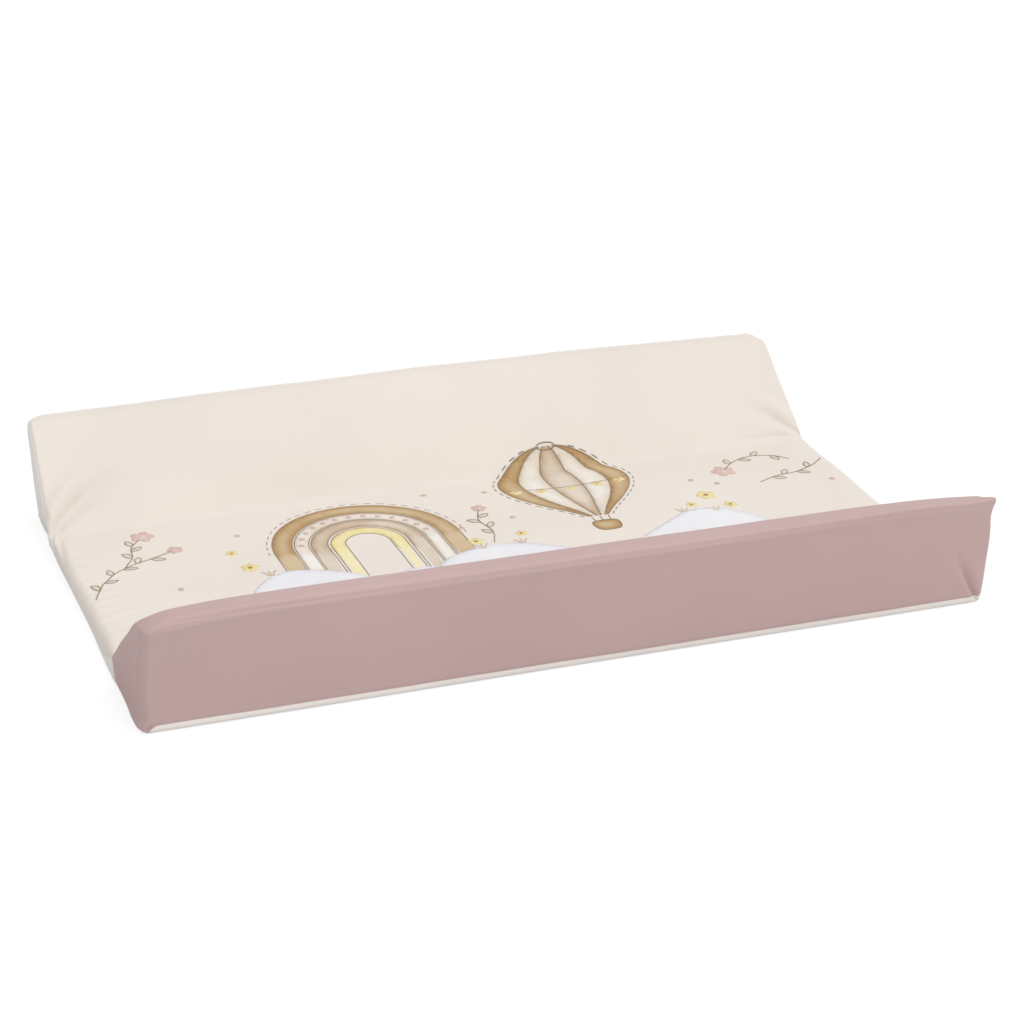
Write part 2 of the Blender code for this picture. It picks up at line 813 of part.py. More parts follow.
def build():
    """Builds the changing mat."""
    clear_scene()
    collection = bpy.data.collections.new("changing_mat")
    bpy.context.scene.collection.children.link(collection)
    add_board(collection)
    add_base_foam(collection)
    add_wedge_foam("front_wedge_foam", FRONT, collection)
    add_wedge_foam("back_wedge_foam", BACK, collection)
    add_bottom_cover(collection)
    add_sheet("top_cover", top_rows(), True, "cream_sheet", collection)
    add_sheet("front_cover", wall_columns(FRONT), True, "pink_sheet", collection)
    add_sheet("back_cover", wall_columns(BACK), False, "white_sheet", collection)
    add_weld("front_crest_weld", crest_weld_route(FRONT), "pink_sheet", collection)
    add_weld("back_crest_weld", crest_weld_route(BACK), "white_sheet", collection)
    add_weld("front_base_weld", base_weld_route(FRONT), "pink_sheet", collection)
    add_weld("back_base_weld", base_weld_route(BACK), "white_sheet", collection)
    add_weld("left_end_weld", floor_end_route(LEFT), "white_sheet", collection)
    add_weld("right_end_weld", floor_end_route(RIGHT), "white_sheet", collection)


build()
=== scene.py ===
"""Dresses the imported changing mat: welded sheets over foam, their folds, seams and print, a studio and a camera."""

from math import atan2, ceil, cos, pi, radians, sin
from math import tan as tangent

import bmesh
import bpy
import numpy as np
from mathutils import Matrix, Vector, noise
from mathutils.bvhtree import BVHTree
from mathutils.geometry import delaunay_2d_cdt
from mathutils.kdtree import KDTree


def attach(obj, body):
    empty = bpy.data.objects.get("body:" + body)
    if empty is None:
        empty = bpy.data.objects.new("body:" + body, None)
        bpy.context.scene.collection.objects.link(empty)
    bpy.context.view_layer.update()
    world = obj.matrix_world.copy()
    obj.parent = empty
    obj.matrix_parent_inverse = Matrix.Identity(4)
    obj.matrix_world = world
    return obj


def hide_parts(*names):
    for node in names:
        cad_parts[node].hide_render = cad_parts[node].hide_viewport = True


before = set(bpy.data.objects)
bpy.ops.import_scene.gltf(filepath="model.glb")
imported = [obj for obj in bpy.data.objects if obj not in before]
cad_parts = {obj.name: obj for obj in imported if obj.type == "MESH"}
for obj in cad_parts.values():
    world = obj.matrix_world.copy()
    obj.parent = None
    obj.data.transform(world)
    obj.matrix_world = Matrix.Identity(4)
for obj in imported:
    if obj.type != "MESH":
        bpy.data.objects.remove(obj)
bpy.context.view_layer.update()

# Sizes of the mat, in metres, as its solids have them.
LENGTH = 0.800
BASE_WIDTH = 0.473
TOP_WIDTH = 0.496
WALL_HEIGHT = 0.1055
FLOOR_WIDTH = 0.262
FLOOR_HEIGHT = 0.0243
BAND_WIDTH = 0.0225
LEFT_END_LEAN = 0.002
FRONT_BOW = 0.008
BACK_BOW = 0.006
FRONT_BOW_POWER = 10
BACK_BOW_POWER = 2.5
FLOOR_CROWN = 0.003
SLOPE_CROWN = 0.0022
CROWN_FADE_POWER = 4
CREST_RADIUS = 0.008
FOLD_RADIUS = 0.012
BASE_RADIUS = 0.005
WALL_END_RADIUS = 0.0045
FLOOR_END_RADIUS = 0.0075
FACE_RIM = 0.008
END_RIM = 0.0072
TIP_DROP_LENGTH = 0.020
END_DRAPE_LENGTH = 0.046
BOARD_TOP = 0.0045
MM = 0.001
FOLD = FLOOR_WIDTH / 2
HALF = LENGTH / 2
FRONT, BACK, LEFT, RIGHT = -1, 1, -1, 1
CORNER_RADII = {(LEFT, FRONT): 0.007, (RIGHT, FRONT): 0.0045, (LEFT, BACK): 0.0055, (RIGHT, BACK): 0.0055}
CORNER_DEPTHS = {**CORNER_RADII, (LEFT, FRONT): 0.0135}

# Sizes that only the dressed mat has.
BACK_SEAM_INSET = 0.0060
SEAM_ANGLE = radians(58)
WRAP_RIM = 0.0011
WRAP_START = -0.3945
WRAP_END = -0.3865
WRAP_DROP_LENGTH = 0.015
SHEET = 0.0008
FOAM_INSET = 0.0019
FOAM_GAP = 0.0004
FOAM_END_RADIUS = 0.004
FOAM_END_MARGIN = 0.006
FOAM_END_PINCH = 0.0022
SEAM_DIP = 0.0007
SEAM_DIP_WIDTH = 0.0016
BEAD_RADIUS = 0.00055
SOFT_EDGE_RADIUS = 0.0035
SOFT_EDGE_START = (-0.392, -0.370)
SOFT_EDGE_END = (0.05, 0.30)
TIP_LEVEL = 0.004
TIP_CLEARANCE = 0.0006

# Counts of faces. The rows across the mat lie ROW_START apart at its ends and up to ROW_LIMIT in between, and the
# points up a wall are bunched towards its foot and its top.
BEND_STEPS, SEAM_STEP, SLOPE_STEPS, FOLD_STEPS, FLOOR_STEPS = 10, 7, 54, 12, 40
FACE_STEPS, ROUND_STEPS, BAND_STEPS, FAN_STEPS, RIM_STEPS = 56, 16, 23, 14, 12
ROW_START, ROW_GROWTH, ROW_LIMIT, ROW_END = 0.0014, 0.055, 0.0058, 0.002
BUNCHING = 0.11
BEAD_SIDES, SEAM_SPACING = 8, 0.0008

# The unevenness of the cover comes from seeded noise, so that each run gives the same shape.
noise.seed_set(11)


# Small helpers.


def smooth(low, high, value):
    """Returns 0 at low, 1 at high and a smooth step between them."""
    t = np.clip((value - low) / (high - low), 0, 1)
    return t * t * (3 - 2 * t)


def half_width(height):
    """Returns how far an outer face is from the middle of the mat."""
    return (BASE_WIDTH + (TOP_WIDTH - BASE_WIDTH) * height / WALL_HEIGHT) / 2


def half_length(end, height):
    """Returns how far an end face is from the middle of the mat."""
    return HALF - (LEFT_END_LEAN if end == LEFT else 0.0) * height / WALL_HEIGHT


def base_inset(height):
    """Returns how far the rounding of the lower edge draws in at a height."""
    depth = np.clip(1 - height / BASE_RADIUS, 0, 1)
    return BASE_RADIUS * (1 - np.sqrt(1 - depth ** 2))


def crest_height(side, share):
    """Returns the height of a wall at a share of the half length."""
    bow, power = (FRONT_BOW, FRONT_BOW_POWER) if side == FRONT else (BACK_BOW, BACK_BOW_POWER)
    return WALL_HEIGHT + bow * (1 - np.abs(share) ** power)


def edge_radius(side, x):
    """Returns how round a wall's outer upper edge is at a place along it."""
    if side == BACK:
        return WALL_END_RADIUS
    return WALL_END_RADIUS + SOFT_EDGE_RADIUS * float(smooth(*SOFT_EDGE_START, x) * (1 - smooth(*SOFT_EDGE_END, x)))


def corner_arc(before, corner, after, radius, steps):
    """Returns the points of the arc that rounds one corner of a path."""
    heading_in = atan2(corner[1] - before[1], corner[0] - before[0])
    heading_out = atan2(after[1] - corner[1], after[0] - corner[0])
    turn = (heading_out - heading_in + pi) % (2 * pi) - pi
    reach = radius * tangent(abs(turn) / 2)
    hand = 1 if turn > 0 else -1
    start = (corner[0] - cos(heading_in) * reach, corner[1] - sin(heading_in) * reach)
    hub = (start[0] - hand * sin(heading_in) * radius, start[1] + hand * cos(heading_in) * radius)
    angles = heading_in + turn * np.linspace(0, 1, steps + 1)
    return np.column_stack((hub[0] + hand * np.sin(angles) * radius, hub[1] - hand * np.cos(angles) * radius))


def line(start, end, steps):
    """Returns the points that divide a line, with its end and without its start."""
    t = np.linspace(0, 1, steps + 1)[1:, None]
    return np.asarray(start) * (1 - t) + np.asarray(end) * t


def headings(path):
    """Returns the unit direction of a path at each of its points."""
    step = np.gradient(path, axis=0)
    step /= np.linalg.norm(step, axis=1)[:, None]
    return step


def end_of(x):
    """Returns the end that a place along the mat belongs to."""
    return LEFT if x < 0 else RIGHT


# The top sheet's skin: a section from the front seam to the back seam, carried along the mat and over its ends.


def crest_arc(crest):
    """Returns the arc from a crest's band into its slope."""
    edge = half_width(crest)
    return corner_arc((edge, crest), (edge - BAND_WIDTH, crest), (FOLD, FLOOR_HEIGHT), CREST_RADIUS, BEND_STEPS)


def half_section(side, crest):
    """Returns the section from a wall's seam to the middle of the floor, for one crest height."""
    edge = half_width(crest)
    bend, fold, middle = (edge - BAND_WIDTH, crest), (FOLD, FLOOR_HEIGHT), (0.0, FLOOR_HEIGHT)
    arc = crest_arc(crest)
    low = corner_arc(bend, fold, middle, FOLD_RADIUS, FOLD_STEPS)
    if side == FRONT:
        start = arc[SEAM_STEP:]
    else:
        seam = (edge - BACK_SEAM_INSET, crest)
        start = np.vstack((seam, line(seam, arc[0], 7)[:-1], arc))
    slope = line(arc[-1], low[0], SLOPE_STEPS)[:-1]
    return np.vstack((start, slope, low, line(low[-1], middle, FLOOR_STEPS)))


def full_section(share):
    """Returns the whole section, with signed y, for the crests at a share of the half length."""
    front = half_section(FRONT, crest_height(FRONT, share)) * (-1, 1)
    back = half_section(BACK, crest_height(BACK, share))
    return np.vstack((front, back[::-1][1:]))


LOW = full_section(1.0)
HIGH = full_section(0.0)
SIDES = np.where(LOW[:, 0] < 0, FRONT, BACK)
LAST = len(LOW) - 1
FRONT_TIP = int(np.argmin(np.abs(LOW[:, 0] + FOLD)))
BACK_TIP = int(np.argmin(np.abs(LOW[:, 0] - FOLD)))


def inward_normals(section):
    """Returns the direction into the mat at each point of a section that runs towards the back."""
    step = headings(section)
    return np.column_stack((step[:, 1], -step[:, 0]))


INTO = inward_normals(LOW)


def crown_of(y):
    """Returns the lift of the section by the swelling of the sheet."""
    y = np.abs(y)
    crest = half_width(WALL_HEIGHT) - BAND_WIDTH
    floor_lift = FLOOR_CROWN * (1 - (y / FOLD) ** 2)
    slope_lift = SLOPE_CROWN * np.sin(pi * np.clip((y - FOLD) / (crest - FOLD), 0, 1))
    return np.where(y < FOLD, floor_lift, slope_lift)


CROWN = crown_of(LOW[:, 0])


def section_at(share):
    """Returns the section at a share of the half length, one share for all its points or one for each."""
    share = np.broadcast_to(np.abs(share), len(LOW))
    rise = np.where(SIDES == FRONT, 1 - share ** FRONT_BOW_POWER, 1 - share ** BACK_BOW_POWER)[:, None]
    points = LOW + (HIGH - LOW) * rise
    points[:, 1] += CROWN * (1 - share ** CROWN_FADE_POWER)
    return points


def end_ease(y):
    """Returns 1 where the top sheet hangs down over an end and 0 where a gusset meets it."""
    return smooth(0, END_DRAPE_LENGTH, FOLD - np.abs(y)) ** 0.8


EASE = end_ease(LOW[:, 0])
END_RADIUS = WALL_END_RADIUS + (FLOOR_END_RADIUS - WALL_END_RADIUS) * EASE


def rolled(end, angle, fall=0.0):
    """Returns the section where it rolls over an end: level at angle 0, upright at a right angle."""
    sunk = END_RADIUS * (1 - np.cos(angle)) + fall
    back_off = END_RADIUS * (1 - np.sin(angle))
    base = section_at(1 - back_off / HALF) + INTO * np.broadcast_to(sunk, len(LOW))[:, None]
    return np.column_stack((end * (half_length(end, base[:, 1]) - back_off), base))


def roll_rows(end):
    """Returns the rows of the top sheet over one end, from its level part to its edge."""
    arc_end = SEAM_ANGLE + (pi / 2 - SEAM_ANGLE) * smooth(0, 0.25, EASE)
    drop = np.maximum(LOW[:, 1] - END_RIM - END_RADIUS, 0) * EASE
    rows = []
    for step in range(1, FAN_STEPS + 1):
        along = (END_RADIUS * arc_end + drop) * step / FAN_STEPS
        angle = np.minimum(along / END_RADIUS, arc_end)
        rows.append(rolled(end, angle, np.maximum(along - END_RADIUS * arc_end, 0)))
    return rows


def stations():
    """Returns shares from 0 in the middle to 1 at an end, dense near the end."""
    places = [0.0]
    while places[-1] < HALF - ROW_END:
        places.append(places[-1] + min(ROW_START + ROW_GROWTH * places[-1], ROW_LIMIT))
    return (1 - np.array(places) / places[-1])[::-1]


STATIONS = stations()
ROLLS = {end: roll_rows(end) for end in (LEFT, RIGHT)}


def body_row(end, place):
    """Returns one row of the top sheet between its ends."""
    base = section_at(place * (1 - END_RADIUS / HALF))
    x = (half_length(end, base[:, 1]) - END_RADIUS) * place * end
    return np.column_stack((x, base))


def top_grid():
    """Returns the top sheet's outer skin as rows along the mat of points across it."""
    left = [body_row(LEFT, place) for place in STATIONS[::-1]]
    right = [body_row(RIGHT, place) for place in STATIONS[1:]]
    return np.array([*ROLLS[LEFT][::-1], *left, *right, *ROLLS[RIGHT]])


# The walls' sheets: columns from one gusset's tip round the corner, along the face and to the other tip.


def wraps(end, side):
    """Returns whether a wall's sheet wraps under the mat at a corner, as it does at the front left."""
    return end == LEFT and side == FRONT


def climb(foot, top):
    """Returns the heights of a column's points between its foot and its top, closer together near both."""
    t = np.linspace(0, 1, FACE_STEPS + 1)
    return foot + (top - foot) * (t - BUNCHING * np.sin(2 * pi * t))


def leaned(radius, distance, height, other_height):
    """Returns where a line of an end face that follows the wall's lean is at another height."""
    reach = half_width(height) - radius - FOLD
    return FOLD + (distance - FOLD) * (half_width(other_height) - radius - FOLD) / reach


def gusset_foot(end, side, distance):
    """Returns the height of a gusset's lower edge, which climbs to the tip beside the floor's end."""
    rim, run = (WRAP_RIM, WRAP_DROP_LENGTH) if wraps(end, side) else (END_RIM, TIP_DROP_LENGTH)
    rise = np.clip(1 - (distance - FOLD - TIP_LEVEL) / run, 0, 1)
    return rim + (FLOOR_HEIGHT - WALL_END_RADIUS - TIP_CLEARANCE - rim) * rise


def gusset_columns(end, side):
    """Returns the columns of one gusset, from its tip to the seam on the crest."""
    arc = [rolled(end, angle) for angle in np.linspace(pi / 2, SEAM_ANGLE, ROUND_STEPS + 1)]
    indices = range(FRONT_TIP, -1, -1) if side == FRONT else range(BACK_TIP, LAST + 1)
    columns = []
    for index in indices:
        roll = np.array([ring[index] for ring in arc])
        low_y, low_z = abs(roll[0, 1]), roll[0, 2]
        radius = CORNER_DEPTHS[end, side]
        distance = leaned(radius, low_y, low_z, END_RIM)
        foot = min(gusset_foot(end, side, distance), low_z - TIP_CLEARANCE)
        z = climb(foot, low_z)
        x = end * (half_length(end, z) - base_inset(z))
        face = np.column_stack((x, side * leaned(radius, low_y, low_z, z), z))
        columns.append(np.vstack((face[:-1], roll)))
    return columns


def seam_rows(end, side):
    """Returns the seam's points where the top sheet rolls over an end, from the level part to the sheet's edge."""
    return [row[0 if side == FRONT else LAST] for row in ROLLS[end]]


def corner_point(end, side, turn, height, inset):
    """Returns a point of a rounded upright corner, where turn goes from the face, 0, to the end, 1."""
    across, deep = CORNER_RADII[end, side], CORNER_DEPTHS[end, side]
    drawn = base_inset(height) / (across + BASE_RADIUS / 4)
    x = half_length(end, height) - across + (across - inset - drawn * across) * sin(turn * pi / 2)
    y = half_width(height) - deep + (deep - inset - drawn * across) * cos(turn * pi / 2)
    return (end * x, side * y, height)


def corner_column(end, side, turn, seam):
    """Returns the points up a rounded corner, over its edge and to the seam."""
    crest = crest_height(side, 1 - CORNER_RADII[end, side] * (1 - sin(turn * pi / 2)) / HALF)
    radius = min(WALL_END_RADIUS, CORNER_RADII[end, side])
    foot = WRAP_RIM if wraps(end, side) else FACE_RIM + (END_RIM - FACE_RIM) * turn
    points = [corner_point(end, side, turn, z, 0) for z in climb(foot, crest - radius)]
    for angle in np.linspace(pi / 2, SEAM_ANGLE * turn, ROUND_STEPS + 1)[1:]:
        inset = radius * (1 - sin(angle))
        points.append(corner_point(end, side, turn, crest - radius * (1 - cos(angle)), inset))
    return np.vstack((points, line(points[-1], seam, BAND_STEPS)))


def face_foot(side, x):
    """Returns the height of a face's lower edge."""
    if side == BACK:
        return FACE_RIM
    return WRAP_RIM + (FACE_RIM - WRAP_RIM) * np.clip((x - WRAP_START) / (WRAP_END - WRAP_START), 0, 1) ** 0.7


def outer_edge(side, x, crest, steps):
    """Returns the arc that rounds a wall's outer upper edge."""
    edge = half_width(crest)
    return corner_arc((half_width(0), 0), (edge, crest), (edge - BAND_WIDTH, crest), edge_radius(side, x), steps)


def face_column(side, x):
    """Returns the points up one section of a wall's face, over its edge and across its band to the seam."""
    share = abs(x) / HALF
    crest = float(crest_height(side, share))
    rounding = outer_edge(side, x, crest, ROUND_STEPS)
    z = climb(face_foot(side, x), rounding[0, 1])
    face = np.column_stack((half_width(z) - base_inset(z), z))
    if side == FRONT:
        arc = crest_arc(crest)[: SEAM_STEP + 1]
        band = np.vstack((line(rounding[-1], arc[0], BAND_STEPS - SEAM_STEP), arc[1:]))
    else:
        band = line(rounding[-1], (half_width(crest) - BACK_SEAM_INSET, crest), BAND_STEPS)
    section = np.vstack((face, rounding[1:], band))
    lengths = half_length(end_of(x), section[:, 1]) / HALF
    return np.column_stack((x * lengths, side * section[:, 0], section[:, 1]))


def end_columns(end, side):
    """Returns the columns of one gusset and its corner, from the tip to the face."""
    gusset = gusset_columns(end, side)
    seam = seam_rows(end, side)[::-1]
    turns = np.linspace(1, 0, FAN_STEPS)
    corner = [corner_column(end, side, turn, point) for turn, point in zip(turns, seam)]
    last, first = gusset[-1], corner[0][:len(gusset[-1])]
    between = [last + (first - last) * step / BAND_STEPS for step in range(1, BAND_STEPS)]
    return [*gusset, *between, *corner]


def wall_columns(side):
    """Returns every column of a wall's sheet, from the left tip to the right tip."""
    left = -STATIONS[-2::-1] * (HALF - CORNER_RADII[LEFT, side])
    right = STATIONS[1:-1] * (HALF - CORNER_RADII[RIGHT, side])
    places = np.concatenate((left, right))
    faces = [face_column(side, x) for x in places]
    return [*end_columns(LEFT, side), *faces, *end_columns(RIGHT, side)[::-1]]


# The bottom sheet: flat, and turned up all round to where the others end.


def bottom_loop(top, front, back):
    """Returns the edges of the other sheets' lower ends as one loop, seen from above against the clock."""
    right = top[-1][FRONT_TIP:BACK_TIP + 1]
    left = top[0][FRONT_TIP:BACK_TIP + 1]
    return np.array([*[c[0] for c in front], *right, *[c[0] for c in back][::-1], *left[::-1]])


def bottom_columns(loop):
    """Returns the profile of the turned-up edge at each point of the loop, down to the underside."""
    ahead = np.roll(loop, -1, axis=0) - np.roll(loop, 1, axis=0)
    outward = np.column_stack((ahead[:, 1], -ahead[:, 0]))
    outward /= np.maximum(np.linalg.norm(outward, axis=1), 1e-9)[:, None]
    columns = []
    for (x, y, z), out in zip(loop, outward):
        end = end_of(x)
        x, y = np.array((x, y)) + out * base_inset(z)
        straight = max(z - BASE_RADIUS, 0)
        opening = np.arccos(1 - min(z / BASE_RADIUS, 1))
        column = []
        for along in np.linspace(0, straight + BASE_RADIUS * opening, RIM_STEPS + 1):
            angle = opening - max(along - straight, 0) / BASE_RADIUS
            height = z - along if along < straight else BASE_RADIUS * (1 - cos(angle))
            inset = 0 if along < straight else BASE_RADIUS * (1 - sin(angle))
            fx = x * half_length(end, height) / half_length(end, z) - out[0] * inset
            fy = y * half_width(height) / half_width(z) - out[1] * inset
            column.append((fx, fy, height))
        columns.append(np.array(column))
    return columns


# What makes the cover look stuffed, pulled and folded. Places and sizes here are in millimetres.

SLOPE_OUT = (0, -0.68, 0.73)
FACE_OUT = (0, -1, -0.1)
LEFT_OUT = (-1, 0, 0)
UP = (0, 0, 1)

# Bulges: place, reach along each axis, and how far the cover is pushed there.
BULGES = [
    # The left end: the back slope's edge stands out over its gusset, which draws in towards its outer corner.
    ((-400, 158, 45), (16, 30, 26), (-1.8, 0, 0)),
    ((-399, 196, 76), (12, 34, 30), (-1.0, 0, 0)),
    ((-400, 170, 14), (14, 26, 16), (4.6, 0, 0)),
    ((-400, 242, 72), (12, 14, 30), (1.6, 0, 0)),
    ((-400, 238, 4), (24, 36, 32), (6.5, 0, 0)),
    ((-400, 246, 44), (16, 26, 34), (3.0, 0, 0)),
    ((-398, 247, 104), (11, 11, 11), (1.6, -1.2, -4.2)),
    ((-400, 136, 18), (14, 16, 11), (-2.4, 0, 0)),
    # The front left corner stands out, and the slope beside it is full, so the gusset's edge bulges.
    ((-400, -230, 60), (18, 34, 48), (-3.8, 0, 0)),
    ((-400, -152, 45), (26, 34, 34), (0, 4.2, 2.5)),
    ((-400, -194, 74), (18, 34, 32), (0, 0, 2.0)),
    ((-396, -230, 104), (12, 16, 12), (-0.6, 0, -3.6)),
    ((-395, -247, 104), (14, 8, 12), (-1.2, 0, -3.0)),
    ((-366, -247, 108), (34, 9, 14), (0, 0, -2.0)),
    ((-400, -138, 18), (14, 20, 14), (-2.4, 0, 0)),
    ((-300, -236, 3), (190, 8, 6), (0, -1.6, 0)),
    # The front right end: the outer edge stands higher than the seam, and the corner under it is full.
    ((360, -248, 111), (80, 8, 11), (0, 0, 2.5)),
    ((404, -252, 106), (18, 21, 14), (0, 0, 6.0)),
    ((400, -228, 104), (9, 14, 9), (0, 0, -0.8)),
    ((400, -244, 106), (14, 12, 8), (4.4, -0.6, 1.4)),
    ((401, -243, 94), (10, 12, 10), (-0.8, 0, 0)),
    ((401, -242, 64), (13, 18, 34), (3.8, 0, 0)),
    ((401, -238, 14), (16, 18, 30), (4.4, 0, 0)),
    ((401, -237, 5), (14, 14, 8), (0.6, 0, 0)),
    # The floor's right end and the back wall's: full, and drawn in at the crest.
    ((400, 60, 20), (30, 110, 30), (2.8, 0, 2.0)),
    ((400, 144, 36), (16, 26, 22), (2.4, 0, 0)),
    ((400, 168, 60), (12, 24, 22), (1.6, 0, 0)),
    ((400, 240, 106), (13, 16, 13), (-1.8, 0, -2.6)),
    ((386, 247, 107), (7, 8, 8), (0, 0, 2.0)),
]

# How far the back wall's crest lies under its plain shape, along the mat.
SAG_PLACES = (-400, -317, -208, -100, 10, 119, 229, 338, 400)
SAG_DEPTHS = (0.0, 2.2, 2.0, 2.4, 0.9, 1.3, 0.8, 0.7, 0.7)

# The doubled sheet along the front wall's outer edge: a narrow ridge, a shallow groove and a flat ridge under it.
# It starts this many millimetres under the crest for each metre of the edge's radius.
EDGE_DROP = 290
EDGE_PLACES = (-388, -370, -345, -300, -200, 0, 200, 300, 345, 370, 386, 398)
EDGE_PATH = [(x, -247.6, crest_height(FRONT, x * MM / HALF) / MM - edge_radius(FRONT, x * MM) * EDGE_DROP)
             for x in EDGE_PLACES]

# Folds, tucks and dents: path, outward direction, depth, width at the start and at the end, and how much of the
# depth is left at each end. A negative depth is a ridge.
FOLDS = [
    # The big fold where the floor's left end meets the back wall: steep on its left, where the slope swells beside
    # it, and shallow on its right.
    ([(-396, 134, 27), (-393, 138.5, 31), (-389, 143, 35), (-379, 151, 42), (-363, 161, 51), (-343, 172, 61),
      (-326, 178, 67)], SLOPE_OUT, 3.0, 1.6, 6.5, 1.0, 0.0),
    ([(-391, 137, 30), (-383, 144, 36), (-371, 151, 43), (-355, 159, 50), (-336, 169, 59), (-316, 174, 64)],
     SLOPE_OUT, 6.0, 4.0, 14.0, 0.8, 0.0),
    ([(-396, 147, 39), (-389, 157, 48), (-377, 168, 58), (-358, 180, 69), (-336, 188, 77)],
     SLOPE_OUT, -3.2, 5.0, 9.0, 0.5, 0.0),
    ([(-402, 134, 24), (-398, 134, 26), (-390, 134, 28)], (-0.6, 0, 0.8), 2.0, 2.2, 2.4, 1.0, 0.3),
    ([(-397, 136, 28), (-397, 144, 36), (-397, 153, 43)], (-0.7, -0.5, 0.5), 0.8, 1.4, 1.8, 1.0, 0.0),
    ([(-396, 136, 28), (-395, 145, 36), (-395, 152, 42)], (-0.5, -0.6, 0.6), 0.6, 1.4, 2.0, 1.0, 0.0),
    ([(-397, 132, 25), (-400, 120, 19), (-400, 100, 15), (-400, 80, 13)], (-0.8, 0, 0.6), 1.3, 1.5, 3.0, 1.0, 0.0),
    ([(-393, 128, 26), (-396, 105, 24), (-398, 83, 21), (-400, 60, 19)], (-0.6, 0, 0.8), 1.6, 2.0, 5.0, 1.0, 0.0),
    ([(-397, 120, 23), (-399, 100, 20), (-400, 84, 18)], (-0.7, 0, 0.7), -0.9, 2.4, 4.0, 0.6, 0.0),
    ([(-388, 121, 26), (-389, 104, 26), (-392, 84, 26)], UP, -0.7, 4.0, 7.0, 0.6, 0.0),
    # Creases where the floor's right end meets the back wall.
    ([(397, 136, 28), (388, 143, 34), (379, 150, 41), (366, 158, 48), (348, 166, 56)],
     SLOPE_OUT, 3.4, 1.8, 9.0, 1.0, 0.0),
    ([(398, 147, 39), (388, 156, 47), (374, 167, 57), (352, 179, 68)], SLOPE_OUT, -1.5, 4.0, 9.0, 0.6, 0.0),
    ([(398, 158, 50), (384, 170, 60), (366, 182, 70)], SLOPE_OUT, 0.8, 3.5, 7.0, 0.6, 0.0),
    ([(398, 133.5, 27), (380, 136, 29), (352, 138, 30), (325, 138, 30)], SLOPE_OUT, 2.0, 1.2, 1.8, 1.0, 0.0),
    ([(388, 140, 33), (368, 143.5, 36), (346, 146, 39)], SLOPE_OUT, -0.9, 3.0, 5.0, 0.6, 0.0),
    # The tuck at the lower right of the front face.
    ([(396, -237, 3), (393, -237.5, 9), (388, -238.6, 19), (383, -240, 31), (377, -241, 42), (372, -242, 52),
      (365, -243, 66)], FACE_OUT, 3.6, 1.1, 4.0, 1.0, 0.0),
    ([(388, -238, 9), (379, -240, 27), (370, -241, 46)], FACE_OUT, -0.5, 2.4, 5.0, 0.8, 0.0),
    ([(396, -238, 12), (392, -240, 30), (386, -242, 54)], FACE_OUT, -1.0, 1.8, 4.0, 0.6, 0.0),
    ([(396.5, -240, 100), (396, -243, 108), (395, -246, 106), (395, -246, 96), (396, -245, 88)], (0.3, -0.9, 0.4),
     1.3, 1.2, 1.6, 0.6, 0.0),
    ([(395, -240, 44), (392, -242, 62), (390, -244, 80)], FACE_OUT, 0.4, 2.0, 3.0, 0.6, 0.0),
    ([(333, -241, 48), (333, -241, 40)], FACE_OUT, 0.7, 4.5, 4.5, 0.8, 0.8),
    ([(258, -242, 50), (258, -242, 46)], FACE_OUT, 0.5, 3.5, 3.5, 0.8, 0.8),
    (EDGE_PATH, (0, -0.6, 0.8), -0.7, 1.6, 1.6, 0.7, 1.0),
    ([(x, y, z - 3.4) for x, y, z in EDGE_PATH], FACE_OUT, 0.45, 1.3, 1.3, 0.8, 0.8),
    ([(x, y, z - 6.8) for x, y, z in EDGE_PATH], FACE_OUT, -0.35, 2.2, 2.2, 0.6, 0.5),
    # The doubled edge at the left of the front crest: a ridge on the band and a groove beside it.
    ([(-397, -227, 103), (-394, -229, 105), (-388, -232, 107), (-378, -235, 109), (-348, -238.5, 111.5),
      (-306, -241.5, 112.5), (-240, -241, 113.3), (-150, -239, 113.5)], UP, 0.75, 1.0, 1.5, 1.0, 0.0),
    ([(-392, -235, 106), (-382, -238.5, 108.5), (-365, -241, 110), (-340, -243, 111), (-300, -244.5, 111.8),
      (-220, -244, 112.8), (-120, -242, 113.4)], UP, -0.7, 1.6, 2.0, 0.7, 0.0),
    ([(-397, -236, 103), (-392, -240, 105.5), (-385, -243, 107), (-374, -245, 107.8), (-342, -246.6, 108.2),
      (-308, -247.4, 108.2), (-240, -247.4, 108.6), (-150, -247.4, 108.8)], (0, -0.5, 0.87), 0.9, 1.0, 1.5, 1.0, 0.0),
    ([(-400, -243, 99), (-397, -238, 103), (-394, -234, 105)], (-0.7, -0.3, 0.6), 1.0, 1.1, 1.6, 0.6, 0.2),
    ([(-401, -236, 101), (-400, -229, 95), (-400, -222, 88)], (-0.9, 0, 0.3), 1.0, 1.2, 2.0, 1.0, 0.0),
    ([(-397, -237, 3), (-392, -237, 6.5), (-386, -238, 10)], FACE_OUT, 2.2, 1.1, 2.0, 1.0, 0.0),
    ([(-399, -238, 12), (-395, -239, 17), (-391, -240, 20)], FACE_OUT, -0.6, 2.0, 3.0, 0.8, 0.0),
    # Wrinkles of the left gusset.
    ([(-401, -196, 66), (-401, -194, 50), (-401, -196, 30), (-401, -200, 14)], LEFT_OUT, 0.9, 2.4, 3.2, 0.3, 0.4),
    ([(-401, -184, 54), (-401, -183, 40), (-401, -186, 20)], LEFT_OUT, -0.7, 3.0, 3.0, 0.4, 0.4),
    ([(-401, -174, 44), (-401, -174, 34), (-401, -178, 20)], LEFT_OUT, 0.7, 2.0, 2.6, 0.3, 0.4),
]

